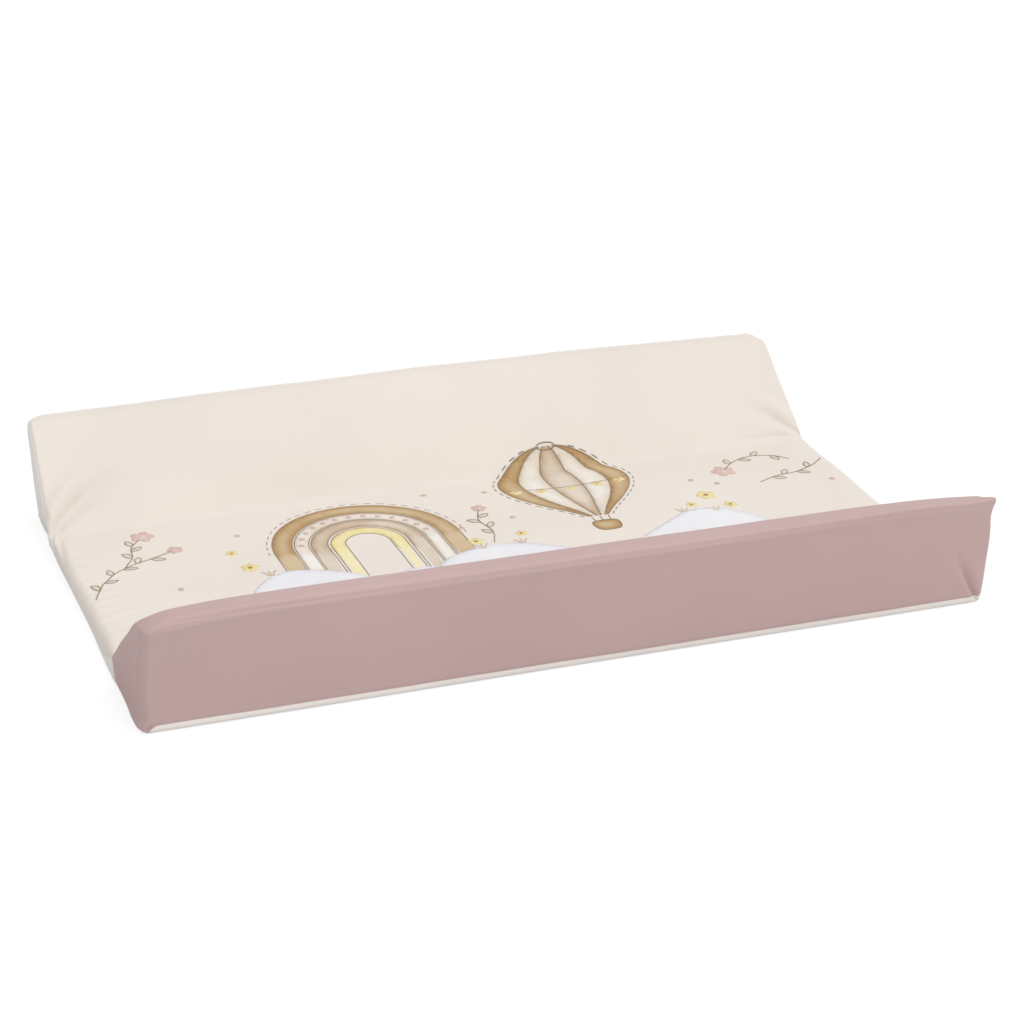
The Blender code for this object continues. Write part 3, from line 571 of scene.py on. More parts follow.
# How far the left end's lower edge is drawn in, across the mat.
UNDERCUT_PLACES = (-240, -222, -206, -188, -168, -150, -130, -110, -90, -70, -50, -27, 16, 61, 107, 131, 155, 167,
                   179, 191, 204, 216, 240)
UNDERCUT_DEPTHS = (-1.2, -2.6, -2.8, -2.0, -1.6, -1.2, -1.8, -1.8, -1.2, -0.5, 0.5, 1.0, 1.6, 1.9, 2.0, 2.6, 3.0, 3.4,
                   4.2, 3.9, 3.2, 1.8, 0.0)

# Where the foam gives way under the deepest folds.
RELIEFS = [
    ((-388, 141, 32), (30, 22, 20), (1.0, 2.2, -2.8)),
    ((386, 141, 33), (26, 18, 16), (-1.0, 1.4, -1.8)),
    ((389, -239, 22), (20, 14, 44), (-0.6, 2.8, 0)),
    ((-392, -239, 8), (14, 10, 14), (0.6, 2.0, 0)),
]


# The unevenness of a stuffed cover: its waves in a metre along each axis, where the noise starts, and its sizes.
BROAD_WAVES, BROAD_START, BROAD_SIZE = (9, 13, 13), (0, 0, 4), 0.55
FINE_WAVES, FINE_START, FINE_SIZE = (28, 40, 40), (0, 0, 9), 0.2

# The waves in the floor near its left end, in metres: how long each is, how they slant and bend, how high they
# stand in millimetres, and where they begin and end along the mat, across it and in height.
RIPPLE_LENGTH, RIPPLE_SLANT, RIPPLE_BEND, RIPPLE_TURNS, RIPPLE_SIZE = 0.0165, 0.25, 1.3, 31, 0.55
RIPPLE_FADE_IN, RIPPLE_FADE_OUT, RIPPLE_HALF_WIDTH, RIPPLE_HEIGHTS = (0.29, 0.375), (0.390, 0.400), 0.12, (0.015, 0.035)


def bulge_shift(points, bulges=BULGES):
    """Returns how the bulges move each point."""
    shift = np.zeros_like(points)
    for place, reach, push in bulges:
        away = (points / MM - place) / reach
        shift += np.exp(-(away ** 2).sum(1))[:, None] * np.array(push) * MM
    return shift


def path_distance(points, path):
    """Returns each point's distance from a path and how far along it the nearest place is, from 0 to 1."""
    runs = path[1:] - path[:-1]
    lengths = np.linalg.norm(runs, axis=1)
    before = np.concatenate(([0], np.cumsum(lengths)))
    best = np.full(len(points), np.inf)
    along = np.zeros(len(points))
    for start, run, length, done in zip(path, runs, lengths, before):
        t = np.clip(((points - start) @ run) / length ** 2, 0, 1)
        away = np.linalg.norm(points - start - t[:, None] * run, axis=1)
        nearer = away < best
        best[nearer] = away[nearer]
        along[nearer] = (done + t[nearer] * length) / before[-1]
    return best, along


def fold_shift(points):
    """Returns how the folds, tucks and dents move each point."""
    shift = np.zeros_like(points)
    for path, out, depth, width_start, width_end, left_start, left_end in FOLDS:
        path = np.array(path) * MM
        reach = 3 * max(width_start, width_end) * MM
        near = np.all((points > path.min(0) - reach) & (points < path.max(0) + reach), axis=1)
        if not near.any():
            continue
        away, along = path_distance(points[near], path)
        width = (width_start + (width_end - width_start) * along) * MM
        rise = left_start + (1 - left_start) * np.minimum(along / 0.25, 1)
        fall = left_end + (1 - left_end) * np.minimum((1 - along) / 0.6, 1)
        strength = depth * MM * rise * fall * np.exp(-(away / width) ** 2)
        shift[near] -= strength[:, None] * np.array(out) / np.linalg.norm(out)
    return shift


def undercut_shift(points):
    """Returns how the left end's lower edge is drawn in, or stands out, under the floor."""
    x, y, z = points.T
    depth = np.interp(y / MM, UNDERCUT_PLACES, UNDERCUT_DEPTHS) * MM * (1 - smooth(0.0045, 0.0165, z))
    shift = np.zeros_like(points)
    shift[:, 0] = depth * smooth(0.378, 0.393, -x)
    return shift


def sag_shift(points):
    """Returns how the back wall's crest hangs under its plain shape."""
    x, y, z = points.T
    shift = np.zeros_like(points)
    shift[:, 2] = -np.interp(x / MM, SAG_PLACES, SAG_DEPTHS) * MM * smooth(0.195, 0.232, y) * smooth(0.05, 0.10, z)
    return shift


def soft_shift(points):
    """Returns the slight unevenness of a stuffed cover, and the waves in the floor near its left end."""
    shift = np.empty_like(points)
    for index, point in enumerate(points):
        broad = noise.noise_vector(Vector(point * BROAD_WAVES + BROAD_START))
        fine = noise.noise_vector(Vector(point * FINE_WAVES + FINE_START))
        shift[index] = (BROAD_SIZE * broad + FINE_SIZE * fine) * MM
    x, y, z = points.T
    shift *= smooth(0.001, 0.012, z)[:, None]
    phase = (y - RIPPLE_SLANT * (x + HALF)) * 2 * pi / RIPPLE_LENGTH + RIPPLE_BEND * np.sin(RIPPLE_TURNS * y)
    wave = np.sin(phase) * RIPPLE_SIZE * MM
    wave *= smooth(*RIPPLE_FADE_IN, -x) * (1 - smooth(*RIPPLE_FADE_OUT, -x))
    wave *= smooth(0, 0.05, RIPPLE_HALF_WIDTH - np.abs(y))
    shift[:, 2] += wave * (z > RIPPLE_HEIGHTS[0]) * (z < RIPPLE_HEIGHTS[1])
    return shift


def warp(points):
    """Returns how the cover and what it holds are bent out of their plain shape at each point."""
    points = np.asarray(points, dtype=float)
    return bulge_shift(points) + undercut_shift(points) + sag_shift(points) + fold_shift(points) + soft_shift(points)


# Meshes.


def mesh_object(name, points, faces):
    """Adds a mesh object with smooth shading."""
    mesh = bpy.data.meshes.new(name)
    mesh.from_pydata([tuple(map(float, p)) for p in points], [], faces)
    mesh.validate()
    mesh.shade_smooth()
    made = bpy.data.objects.new(name, mesh)
    bpy.context.scene.collection.objects.link(made)
    return made


def strip_faces(columns, flip, closed=False):
    """Returns the faces between neighbouring columns, as far up as the shorter one goes."""
    faces = []
    starts = np.concatenate(([0], np.cumsum([len(column) for column in columns])))[:-1].tolist()
    pairs = list(zip(range(len(columns) - 1), range(1, len(columns))))
    if closed:
        pairs.append((len(columns) - 1, 0))
    for one, other in pairs:
        low, beside = starts[one], starts[other]
        for step in range(min(len(columns[one]), len(columns[other])) - 1):
            face = (low + step, low + step + 1, beside + step + 1, beside + step)
            faces.append(face[::-1] if flip else face)
    return faces


def loft_faces(rings, size):
    """Returns the faces of a closed tube of rings with capped ends."""
    faces = []
    for ring in range(rings - 1):
        for side in range(size):
            low, beside = ring * size + side, ring * size + (side + 1) % size
            faces.append((low, beside, beside + size, low + size))
    return [*faces, tuple(range(size))[::-1], tuple(range((rings - 1) * size, rings * size))]


def sheet_object(name, points, faces):
    """Adds a sheet from its outer skin, thickened inwards."""
    made = mesh_object(name, points, faces)
    joined = bmesh.new()
    joined.from_mesh(made.data)
    bmesh.ops.remove_doubles(joined, verts=joined.verts, dist=0.000005)
    joined.to_mesh(made.data)
    joined.free()
    solidify = made.modifiers.new("Sheet thickness", "SOLIDIFY")
    solidify.thickness = SHEET
    solidify.offset = -1
    solidify.use_rim = True
    return made


def vertex_normals(points, faces):
    """Returns unit normals at the points of a mesh of four-sided faces."""
    quads = np.array(faces)
    a, b, c, d = (points[quads[:, k]] for k in range(4))
    across = np.cross(c - a, d - b)
    normals = np.zeros_like(points)
    for k in range(4):
        np.add.at(normals, quads[:, k], across)
    return normals / np.maximum(np.linalg.norm(normals, axis=1), 1e-12)[:, None]


class Seam:
    """A welded seam: its route on the plain shape and the way out of the mat along it."""

    def __init__(self, route, outward):
        self.route = np.array(route, dtype=float)
        self.outward = np.array(outward, dtype=float)

    def dense(self):
        """Returns closely spaced points along the seam, each with its way out."""
        for start, end, out, next_out in zip(self.route, self.route[1:], self.outward, self.outward[1:]):
            count = max(int(ceil(np.linalg.norm(end - start) / SEAM_SPACING)), 1)
            for k in range(count):
                yield start + (end - start) * k / count, out + (next_out - out) * k / count
        yield self.route[-1], self.outward[-1]


def dip_shift(points, seams):
    """Returns how the sheets dip towards the welded seams."""
    places = [pair for seam in seams for pair in seam.dense()]
    tree = KDTree(len(places))
    for index, (place, _) in enumerate(places):
        tree.insert(place, index)
    tree.balance()
    shift = np.zeros_like(points)
    for index, point in enumerate(points):
        _, nearest, away = tree.find(point)
        if away < 3 * SEAM_DIP_WIDTH:
            shift[index] = -places[nearest][1] * SEAM_DIP * np.exp(-(away / SEAM_DIP_WIDTH) ** 2)
    return shift


def bead(name, route):
    """Adds a round bead along a route, with closed ends."""
    route = np.array(route)
    runs = headings(route)
    across = np.cross(runs[0], (0.1, 0.2, 1))
    points = []
    for place, run in zip(route, runs):
        across = across - run * (across @ run)
        across /= np.linalg.norm(across)
        up = np.cross(run, across)
        points += [place + BEAD_RADIUS * (cos(a) * across + sin(a) * up)
                   for a in np.linspace(0, 2 * pi, BEAD_SIDES, endpoint=False)]
    return mesh_object(name, points, loft_faces(len(route), BEAD_SIDES))


# Materials.


def linear(red, green, blue):
    """Returns a linear colour from one written as 0 to 255."""
    return tuple(((c / 255 + 0.055) / 1.055) ** 2.4 if c > 10 else c / 255 / 12.92 for c in (red, green, blue))


def new_material(name):
    """Returns a new material with its nodes, links and shader."""
    material = bpy.data.materials.new(name)
    material.use_nodes = True
    tree = material.node_tree
    return material, tree.nodes, tree.links, tree.nodes["Principled BSDF"]


def set_inputs(node, **values):
    """Sets a node's sockets, each named with underscores for its spaces."""
    for socket, value in values.items():
        node.inputs[socket.replace("_", " ")].default_value = value


def pattern(nodes, links, kind, scale, **values):
    """Returns a new texture node that is laid out in the piece's own coordinates."""
    made = nodes.new(kind)
    set_inputs(made, Scale=scale, **values)
    links.new(nodes.new("ShaderNodeTexCoord").outputs["Object"], made.inputs["Vector"])
    return made


def ramp(nodes, links, value, positions, colours):
    """Returns the colour between two colours that a value gives."""
    made = nodes.new("ShaderNodeValToRGB")
    for element, position, colour in zip(made.color_ramp.elements, positions, colours):
        element.position, element.color = position, (*colour, 1)
    links.new(value, made.inputs["Fac"])
    return made.outputs["Color"]


def roughen(nodes, links, shader, height, strength, distance):
    """Gives a shader a fine bump."""
    bump = nodes.new("ShaderNodeBump")
    set_inputs(bump, Strength=strength, Distance=distance)
    links.new(height, bump.inputs["Height"])
    links.new(bump.outputs["Normal"], shader.inputs["Normal"])


def satin(nodes, links, shader):
    """Gives a shader the coated sheets' fine emboss and satin coat."""
    emboss = pattern(nodes, links, "ShaderNodeTexVoronoi", 900.0)
    roughen(nodes, links, shader, emboss.outputs["Distance"], 0.12, 0.0002)
    set_inputs(shader, Specular_IOR_Level=0.0, Coat_Weight=0.28, Coat_Roughness=0.35)


def mottle(nodes, links, shader, colour, scale, amount):
    """Gives a shader a colour that varies slightly over the surface, and returns the noise that drives it."""
    broad = pattern(nodes, links, "ShaderNodeTexNoise", scale, Detail=3.0).outputs["Fac"]
    colours = [c * (1 - amount) for c in colour], [min(c * (1 + amount), 1) for c in colour]
    links.new(ramp(nodes, links, broad, (0.3, 0.7), colours), shader.inputs["Base Color"])
    return broad


def coated_sheet(name, colour, roughness):
    """Returns a coated satin sheet: a fine emboss, faint mottling and uneven gloss."""
    material, nodes, links, shader = new_material(name)
    gloss = nodes.new("ShaderNodeMapRange")
    set_inputs(gloss, To_Min=roughness - 0.05, To_Max=roughness + 0.05)
    links.new(mottle(nodes, links, shader, colour, 7.0, 0.02), gloss.inputs["Value"])
    links.new(gloss.outputs["Result"], shader.inputs["Roughness"])
    satin(nodes, links, shader)
    return material


def open_foam(name, colour):
    """Returns open-cell foam: pale, rough and pitted."""
    material, nodes, links, shader = new_material(name)
    mottle(nodes, links, shader, colour, 60.0, 0.06)
    cells = pattern(nodes, links, "ShaderNodeTexVoronoi", 700.0)
    roughen(nodes, links, shader, cells.outputs["Distance"], 0.7, 0.0006)
    set_inputs(shader, Roughness=0.95, Specular_IOR_Level=0.2)
    return material


def pressed_board(name, colour):
    """Returns pressed fibre board: brown, flecked and a little rough."""
    material, nodes, links, shader = new_material(name)
    mottle(nodes, links, shader, colour, 90.0, 0.16)
    fibres = pattern(nodes, links, "ShaderNodeTexNoise", 420.0, Detail=4.0)
    roughen(nodes, links, shader, fibres.outputs["Fac"], 0.35, 0.0004)
    set_inputs(shader, Roughness=0.7)
    return material


def printed(name, middle, edge):
    """Returns printed ink that deepens unevenly towards the edges, under the sheet's own satin finish."""
    material, nodes, links, shader = new_material(name)
    wash = pattern(nodes, links, "ShaderNodeTexNoise", 24.0, Detail=2.0)
    shade = nodes.new("ShaderNodeAttribute")
    shade.attribute_name = "shade"
    spread = nodes.new("ShaderNodeMath")
    spread.operation = "MULTIPLY_ADD"
    spread.inputs[1].default_value = 0.55
    links.new(shade.outputs["Fac"], spread.inputs[0])
    links.new(wash.outputs["Fac"], spread.inputs[2])
    tint = ramp(nodes, links, spread.outputs["Value"], (0.40, 1.0), (middle, edge))
    links.new(tint, shader.inputs["Base Color"])
    satin(nodes, links, shader)
    return material


CREAM = coated_sheet("cream_coated_sheet", linear(237, 228, 219), 0.42)
PINK = coated_sheet("dusty_pink_coated_sheet", linear(203, 176, 173), 0.44)
WHITE = coated_sheet("white_coated_sheet", linear(241, 236, 231), 0.45)
FOAM = open_foam("open_cell_foam", linear(247, 244, 231))
BOARD = pressed_board("pressed_fibre_board", linear(150, 122, 92))


def dress(piece, material, slot, *nodes):
    """Gives a piece its material and body, and says which nodes it replaces; its slot is not used."""
    piece.data.materials.clear()
    piece.data.materials.append(material)
    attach(piece, "root")
    if nodes:
        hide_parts(*nodes)


# The sheets.

top = top_grid()
front = wall_columns(FRONT)
back = wall_columns(BACK)
loop = bottom_loop(top, front, back)
rims = bottom_columns(loop)

top_points, top_faces = np.vstack(top), strip_faces(top, True)
front_points, front_faces = np.vstack(front), strip_faces(front, True)
back_points, back_faces = np.vstack(back), strip_faces(back, False)
rim_points, rim_faces = np.vstack(rims), strip_faces(rims, False, closed=True)

top_normals = vertex_normals(top_points, top_faces).reshape(top.shape)
loop_normals = vertex_normals(rim_points, rim_faces).reshape(len(rims), -1, 3)[:, 0]


def crest_seam(side):
    """Returns the seam from one gusset's tip up its edge, along the crest and down to the other tip."""
    span = slice(FRONT_TIP, 0, -1) if side == FRONT else slice(BACK_TIP, LAST)
    edge = 0 if side == FRONT else LAST
    route, outward = [np.vstack((grid[0, span], grid[:, edge], grid[-1, span][::-1])) for grid in (top, top_normals)]
    return Seam(route, outward)


def base_seam(side):
    """Returns the seam along a wall's lower edge, from tip to tip."""
    start = 0 if side == FRONT else len(front) + BACK_TIP - FRONT_TIP - 1
    span = slice(start, start + len(front if side == FRONT else back))
    return Seam(loop[span], loop_normals[span])


def floor_seam(end):
    """Returns the seam across one end of the floor."""
    row = 0 if end == LEFT else -1
    span = slice(FRONT_TIP, BACK_TIP + 1)
    return Seam(top[row, span], top_normals[row, span])


SEAMS = {
    "front_crest_seam": (crest_seam(FRONT), PINK, "pink_sheet", "front_crest_weld"),
    "back_crest_seam": (crest_seam(BACK), WHITE, "white_sheet", "back_crest_weld"),
    "front_base_seam": (base_seam(FRONT), PINK, "pink_sheet", "front_base_weld"),
    "back_base_seam": (base_seam(BACK), WHITE, "white_sheet", "back_base_weld"),
    "left_end_seam": (floor_seam(LEFT), WHITE, "white_sheet", "left_end_weld"),
    "right_end_seam": (floor_seam(RIGHT), WHITE, "white_sheet", "right_end_weld"),
}
ALL_SEAMS = [entry[0] for entry in SEAMS.values()]


def shaped(points):
    """Returns a sheet's outer skin with its bulges, folds and unevenness, and its dips at the seams."""
    return points + warp(points) + dip_shift(points, ALL_SEAMS)


top_shape = shaped(top_points)
rim_shape = shaped(rim_points)
rim_shape[:, 2] = np.maximum(rim_shape[:, 2], 0)
top_sheet = sheet_object("top_sheet", top_shape, top_faces)
front_sheet = sheet_object("front_sheet", shaped(front_points), front_faces)
back_sheet = sheet_object("back_sheet", shaped(back_points), back_faces)
underside = tuple(range(RIM_STEPS, len(rim_points), RIM_STEPS + 1))[::-1]
bottom_sheet = sheet_object("bottom_sheet", rim_shape, [*rim_faces, underside])

dress(top_sheet, CREAM, "cream_sheet", "top_cover")
dress(front_sheet, PINK, "pink_sheet", "front_cover")
dress(back_sheet, WHITE, "white_sheet", "back_cover")
dress(bottom_sheet, WHITE, "white_sheet", "bottom_cover")

for name, (seam, material, slot, node) in SEAMS.items():
    middle = seam.route + warp(seam.route) - seam.outward * (SEAM_DIP + BEAD_RADIUS / 2)
    dress(bead(name, middle), material, slot, node)


# The foam, drawn in from the sheets and bent with them.


def foam_sections():
    """Returns the share, the distance from the end and the inset of each section of a foam piece."""
    angles = np.linspace(pi / 2, 0, 6)
    radius = FOAM_END_RADIUS
    pinched = FOAM_INSET + FOAM_END_PINCH
    half = [(1.0, FOAM_END_MARGIN + radius * (1 - sin(a)), pinched + radius * (1 - cos(a))) for a in angles]
    for share in STATIONS[::-1]:
        if 0 <= share < 0.973:
            half.append((share, 0.0, FOAM_INSET + FOAM_END_PINCH * float(smooth(0.90, 0.965, share))))
    return [(-share, margin, inset) for share, margin, inset in half] + half[-2::-1]


def wedge_ring(side, share, margin, inset):
    """Returns one section of a wall's foam, bent with the sheets over it."""
    end = end_of(share)
    level = FLOOR_HEIGHT - FOAM_INSET + FOAM_GAP
    crest = float(crest_height(side, share))
    rounding = outer_edge(side, share * HALF, crest, 6)
    arc = crest_arc(crest)
    foot = (half_width(level), level)
    path = np.vstack((foot, line(foot, rounding[0], 14)[:-1], rounding, line(rounding[-1], arc[0], 4)[:-1], arc,
                      line(arc[-1], (FOLD, FLOOR_HEIGHT), 22)))
    step = headings(path)
    path[:, 1] += crown_of(path[:, 0]) * (path[:, 0] > FOLD) * (1 - abs(share) ** CROWN_FADE_POWER)
    inner = path + np.column_stack((-step[:, 1], step[:, 0])) * inset
    inner[:, 1] = np.maximum(inner[:, 1], level)
    outer = np.column_stack((share * half_length(end, path[:, 1]), side * path[:, 0], path[:, 1]))
    x = share * (half_length(end, inner[:, 1]) - margin)
    return np.column_stack((x, side * inner[:, 0], inner[:, 1])) + warp(outer) + bulge_shift(outer, RELIEFS)


def floor_ring(share, margin, inset):
    """Returns one section of the floor's foam, bent with the sheets over it."""
    end = end_of(share)
    low, high = BOARD_TOP + FOAM_GAP, FLOOR_HEIGHT - inset
    z = np.linspace(low, high, 8)
    side = np.column_stack((half_width(z) - inset, z))
    y = np.linspace(FOLD, -FOLD, 61)
    lift = FLOOR_CROWN * (1 - (y / FOLD) ** 2) * (1 - abs(share) ** CROWN_FADE_POWER)
    points = np.vstack((side, np.column_stack((y, high + lift)), side[::-1] * (-1, 1)))
    outer = np.column_stack((share * half_length(end, points[:, 1]), points))
    outer[:8, 1], outer[-8:, 1] = half_width(z), -half_width(z[::-1])
    outer[8:-8, 2] = FLOOR_HEIGHT
    bend = warp(outer) + bulge_shift(outer, RELIEFS)
    bend[:, 2] *= np.abs(points[:, 0]) <= FOLD
    return np.column_stack((share * (half_length(end, points[:, 1]) - margin), points)) + bend


def add_foam(name, rings, node, flip):
    """Adds a foam block from its sections."""
    faces = loft_faces(len(rings), len(rings[0]))
    made = mesh_object(name, np.vstack(rings), [face[::-1] for face in faces] if flip else faces)
    dress(made, FOAM, "foam", node)


SECTIONS = foam_sections()
add_foam("front_wall_foam", [wedge_ring(FRONT, *entry) for entry in SECTIONS], "front_wedge_foam", False)
add_foam("back_wall_foam", [wedge_ring(BACK, *entry) for entry in SECTIONS], "back_wedge_foam", True)
add_foam("floor_foam", [floor_ring(*entry) for entry in SECTIONS], "base_foam", True)
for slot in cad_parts["stiffening_board"].material_slots:
    slot.material = BOARD


# The print on the top sheet, seen from above: nested arches and a balloon over hills, with sprigs and flowers. Its
# places and sizes are in millimetres, and dashes and gaps are counted in steps along their line.

PRINT_LIFT, PRINT_STEP, PRINT_DEPTH = 0.10, 0.05, 0.35
GRID_STEP, CURVE_STEP, EDGE_FADE = 5.0, 2.5, 9.0
DASH, GAP, PETALS, DOT = 3, 2, 5, 3.0
OUTLINE, FINE_LINE, GRASS_LINE = 1.1, 0.9, 1.3


def spline(points, closed=False):
    """Returns a smooth curve through points, with steps of about a fixed length."""
    points = np.array(points, dtype=float)
    if closed:
        padded = np.vstack((points[-1], points, points[:2]))
    else:
        padded = np.vstack((2 * points[0] - points[1], points, 2 * points[-1] - points[-2]))
    made = []
    for a, b, c, d in zip(padded, padded[1:], padded[2:], padded[3:]):
        for t in np.arange(0, 1, 1 / max(int(ceil(np.linalg.norm(c - b) / CURVE_STEP)), 1)):
            made.append(0.5 * (2 * b + (c - a) * t + (2 * a - 5 * b + 4 * c - d) * t ** 2
                               + (3 * b - a - 3 * c + d) * t ** 3))
    return np.array(made if closed else [*made, points[-1]])


def ellipse(x, y, half_x, half_y, start=0.0, stop=360.0):
    """Returns an arc of an ellipse, or a whole one."""
    count = max(int(radians(abs(stop - start)) * max(half_x, half_y) / CURVE_STEP), 10)
    angles = np.radians(np.linspace(start, stop, count, endpoint=abs(stop - start) < 360))
    return np.column_stack((x + half_x * np.cos(angles), y + half_y * np.sin(angles)))


def leaf(x, y, length, width, heading):
    """Returns the outline of a pointed leaf that grows from a place in a direction, in degrees."""
    t = np.linspace(0, 1, 9)
    half = width / 2 * np.sin(pi * t) ** 0.8
    side = np.column_stack((t * length, half))
    outline = np.vstack((side, side[-2:0:-1] * (1, -1)))
    c, s = cos(radians(heading)), sin(radians(heading))
    return outline @ np.array(((c, s), (-s, c))) + (x, y)


def petals(x, y, size, turn):
    """Returns the outline of a round-petalled flower."""
    angles = np.linspace(0, 2 * pi, PETALS * 12, endpoint=False)
    reach = size * (0.66 + 0.34 * np.abs(np.cos(PETALS * angles / 2)) ** 0.7)
    return np.column_stack((x + reach * np.cos(angles + turn), y + reach * np.sin(angles + turn)))


class Ink:
    """The areas of one printed colour, as one thin mesh on the top sheet."""

    skin = BVHTree.FromPolygons([Vector(p) for p in top_shape], top_faces)

    def __init__(self, name, middle, edge):
        self.name, self.material = name, printed(name, middle, edge)
        self.points, self.faces, self.shades = [], [], []

    def add(self, flat, faces, shades, layer):
        """Adds faces drawn on the flat, laid on the top sheet."""
        start = len(self.points)
        for x, y in flat:
            place, normal, _, _ = self.skin.ray_cast(Vector((x * MM, y * MM, 0.5)), Vector((0, 0, -1)))
            self.points.append(place + normal * (PRINT_LIFT + PRINT_STEP * layer) * MM)
        self.faces += [tuple(start + k for k in face) for face in faces]
        self.shades += [float(shade) for shade in shades]

    def fill(self, outline, layer=0):
        """Prints the inside of an outline, deeper towards its edge."""
        outline = np.asarray(outline)
        low, high = outline.min(0), outline.max(0)
        grid = [(x, y) for x in np.arange(low[0] + GRID_STEP / 2, high[0], GRID_STEP)
                for y in np.arange(low[1] + GRID_STEP / 2, high[1], GRID_STEP)]
        ring = list(range(len(outline)))
        flat, _, faces, _, _, _ = delaunay_2d_cdt([Vector(p) for p in [*outline, *grid]], [], [ring], 1, 0.001)
        wound = []
        for face in faces:
            a, b, c = (flat[k] for k in face[:3])
            wound.append(tuple(face) if (b - a).cross(c - a) > 0 else tuple(face)[::-1])
        shades = [1 - min(np.linalg.norm(outline - np.array(p), axis=1).min() / EDGE_FADE, 1) for p in flat]
        self.add(flat, wound, shades, layer)

    def stroke(self, route, width, layer=0, closed=False):
        """Prints a line along a route."""
        route = np.asarray(route)
        if closed:
            ahead = np.roll(route, -1, axis=0) - np.roll(route, 1, axis=0)
            ahead /= np.linalg.norm(ahead, axis=1)[:, None]
        else:
            ahead = headings(route)
        across = np.column_stack((-ahead[:, 1], ahead[:, 0])) * width / 2
        count = len(route)
        if not closed:
            taper = np.minimum(np.arange(count), np.arange(count)[::-1]) / 2 + 0.5
            across *= np.minimum(taper, 1)[:, None]
        flat = np.vstack((route - across, route + across))
        pairs = [(k, (k + 1) % count) for k in range(count if closed else count - 1)]
        self.add(flat, [(a, b, b + count, a + count) for a, b in pairs], [0.5] * len(flat), layer)

    def stitch(self, route, width, layer):
        """Prints a dashed line along a route."""
        for start in range(0, len(route) - DASH, DASH + GAP):
            self.stroke(route[start:start + DASH + 1], width, layer)

    def finish(self):
        """Turns the areas into a piece."""
        made = mesh_object(self.name, self.points, self.faces)
        made.data.attributes.new("shade", "FLOAT", "POINT").data.foreach_set("value", self.shades)
        solidify = made.modifiers.new("Ink thickness", "SOLIDIFY")
        solidify.thickness = PRINT_DEPTH * MM
        solidify.offset = -1
        dress(made, self.material, "cream_sheet")
        return made


tan = Ink("print_tan", linear(214, 192, 158), linear(184, 148, 100))
beige = Ink("print_beige", linear(228, 215, 200), linear(200, 176, 148))
cloth = Ink("print_off_white", linear(244, 239, 232), linear(228, 215, 198))
pale = Ink("print_pale_lavender", linear(241, 240, 243), linear(232, 231, 237))
yellow = Ink("print_yellow", linear(246, 236, 196), linear(238, 220, 158))
rose = Ink("print_rose", linear(236, 214, 206), linear(220, 188, 180))
taupe = Ink("print_taupe", linear(182, 165, 146), linear(152, 134, 116))
INKS = (tan, beige, cloth, pale, yellow, rose, taupe)


def draw_arches(x, y, foot):
    """Prints nested arches with straight legs, and a stitched line outside them."""
    for ink, outer, inner in ((tan, 92, 73), (cloth, 71, 57), (beige, 55, 39), (yellow, 36, 22)):
        bow, hollow = ellipse(x, y, outer, outer, 0, 180), ellipse(x, y, inner, inner, 180, 0)
        left_leg, right_leg = [(x - outer, foot), (x - inner, foot)], [(x + inner, foot), (x + outer, foot)]
        ink.fill(np.vstack((bow, left_leg, hollow, right_leg)))
        for route in (bow, hollow[::-1]):
            left, right = (route[-1][0], foot), (route[0][0], foot)
            outline = np.vstack((right, line(right, route[0], 20)[:-1], route, line(route[-1], left, 20)))
            taupe.stroke(outline, OUTLINE, 1)
    taupe.stitch(ellipse(x, y, 97, 97, -4, 184), 1.0, 1)
    for angle in range(12, 180, 13):
        c, s = cos(radians(angle)), sin(radians(angle))
        rose.fill(ellipse(x + 64 * c, y + 64 * s, DOT, DOT), 2)


def draw_balloon(x, mouth):
    """Prints a hot-air balloon with gores, a garland and a basket."""
    profile = spline([(0, 10), (18, 24), (38, 42), (60, 58), (82, 67), (102, 67), (120, 58), (133, 42), (141, 24),
                      (144, 10)])
    heights, widths = mouth + profile[:, 0], profile[:, 1]
    edges = [-1.0, -0.66, -0.24, 0.24, 0.66, 1.0]
    for ink, low, high in zip((tan, cloth, beige, cloth, tan), edges, edges[1:]):
        left = np.column_stack((x + low * widths, heights))
        right = np.column_stack((x + high * widths, heights))
        ink.fill(np.vstack((left[::-1], right)))
    for edge in edges:
        taupe.stroke(np.column_stack((x + edge * widths, heights)), OUTLINE, 4)
    taupe.stroke(ellipse(x, mouth + 144, 10, 3), OUTLINE, 4, closed=True)
    for side in (-1, 1):
        taupe.stitch(np.column_stack((x + side * (widths + 5), heights)), OUTLINE, 4)
    sag = np.linspace(-1, 1, 61)
    width = np.interp(88, profile[:, 0], widths)
    taupe.stroke(np.column_stack((x + sag * width, mouth + 88 - 9 * (1 - sag ** 2))), OUTLINE, 4)
    for share in (-0.82, -0.45, 0.0, 0.45, 0.82):
        place = (x + share * width, mouth + 84 - 9 * (1 - share ** 2))
        yellow.fill(petals(*place, 6.5, share), 2)
        rose.fill(ellipse(*place, 1.9, 1.9), 3)
    for share in (-1, 0, 1):
        taupe.stroke(line((x + share * 9, mouth), (x + share * 8, mouth - 14), 8), OUTLINE, 3)
    basket = spline([(x - 12, mouth - 14), (x + 12, mouth - 14), (x + 10, mouth - 32), (x - 10, mouth - 32)], True)
    tan.fill(basket, 3)
    taupe.stroke(basket, OUTLINE, 5, closed=True)


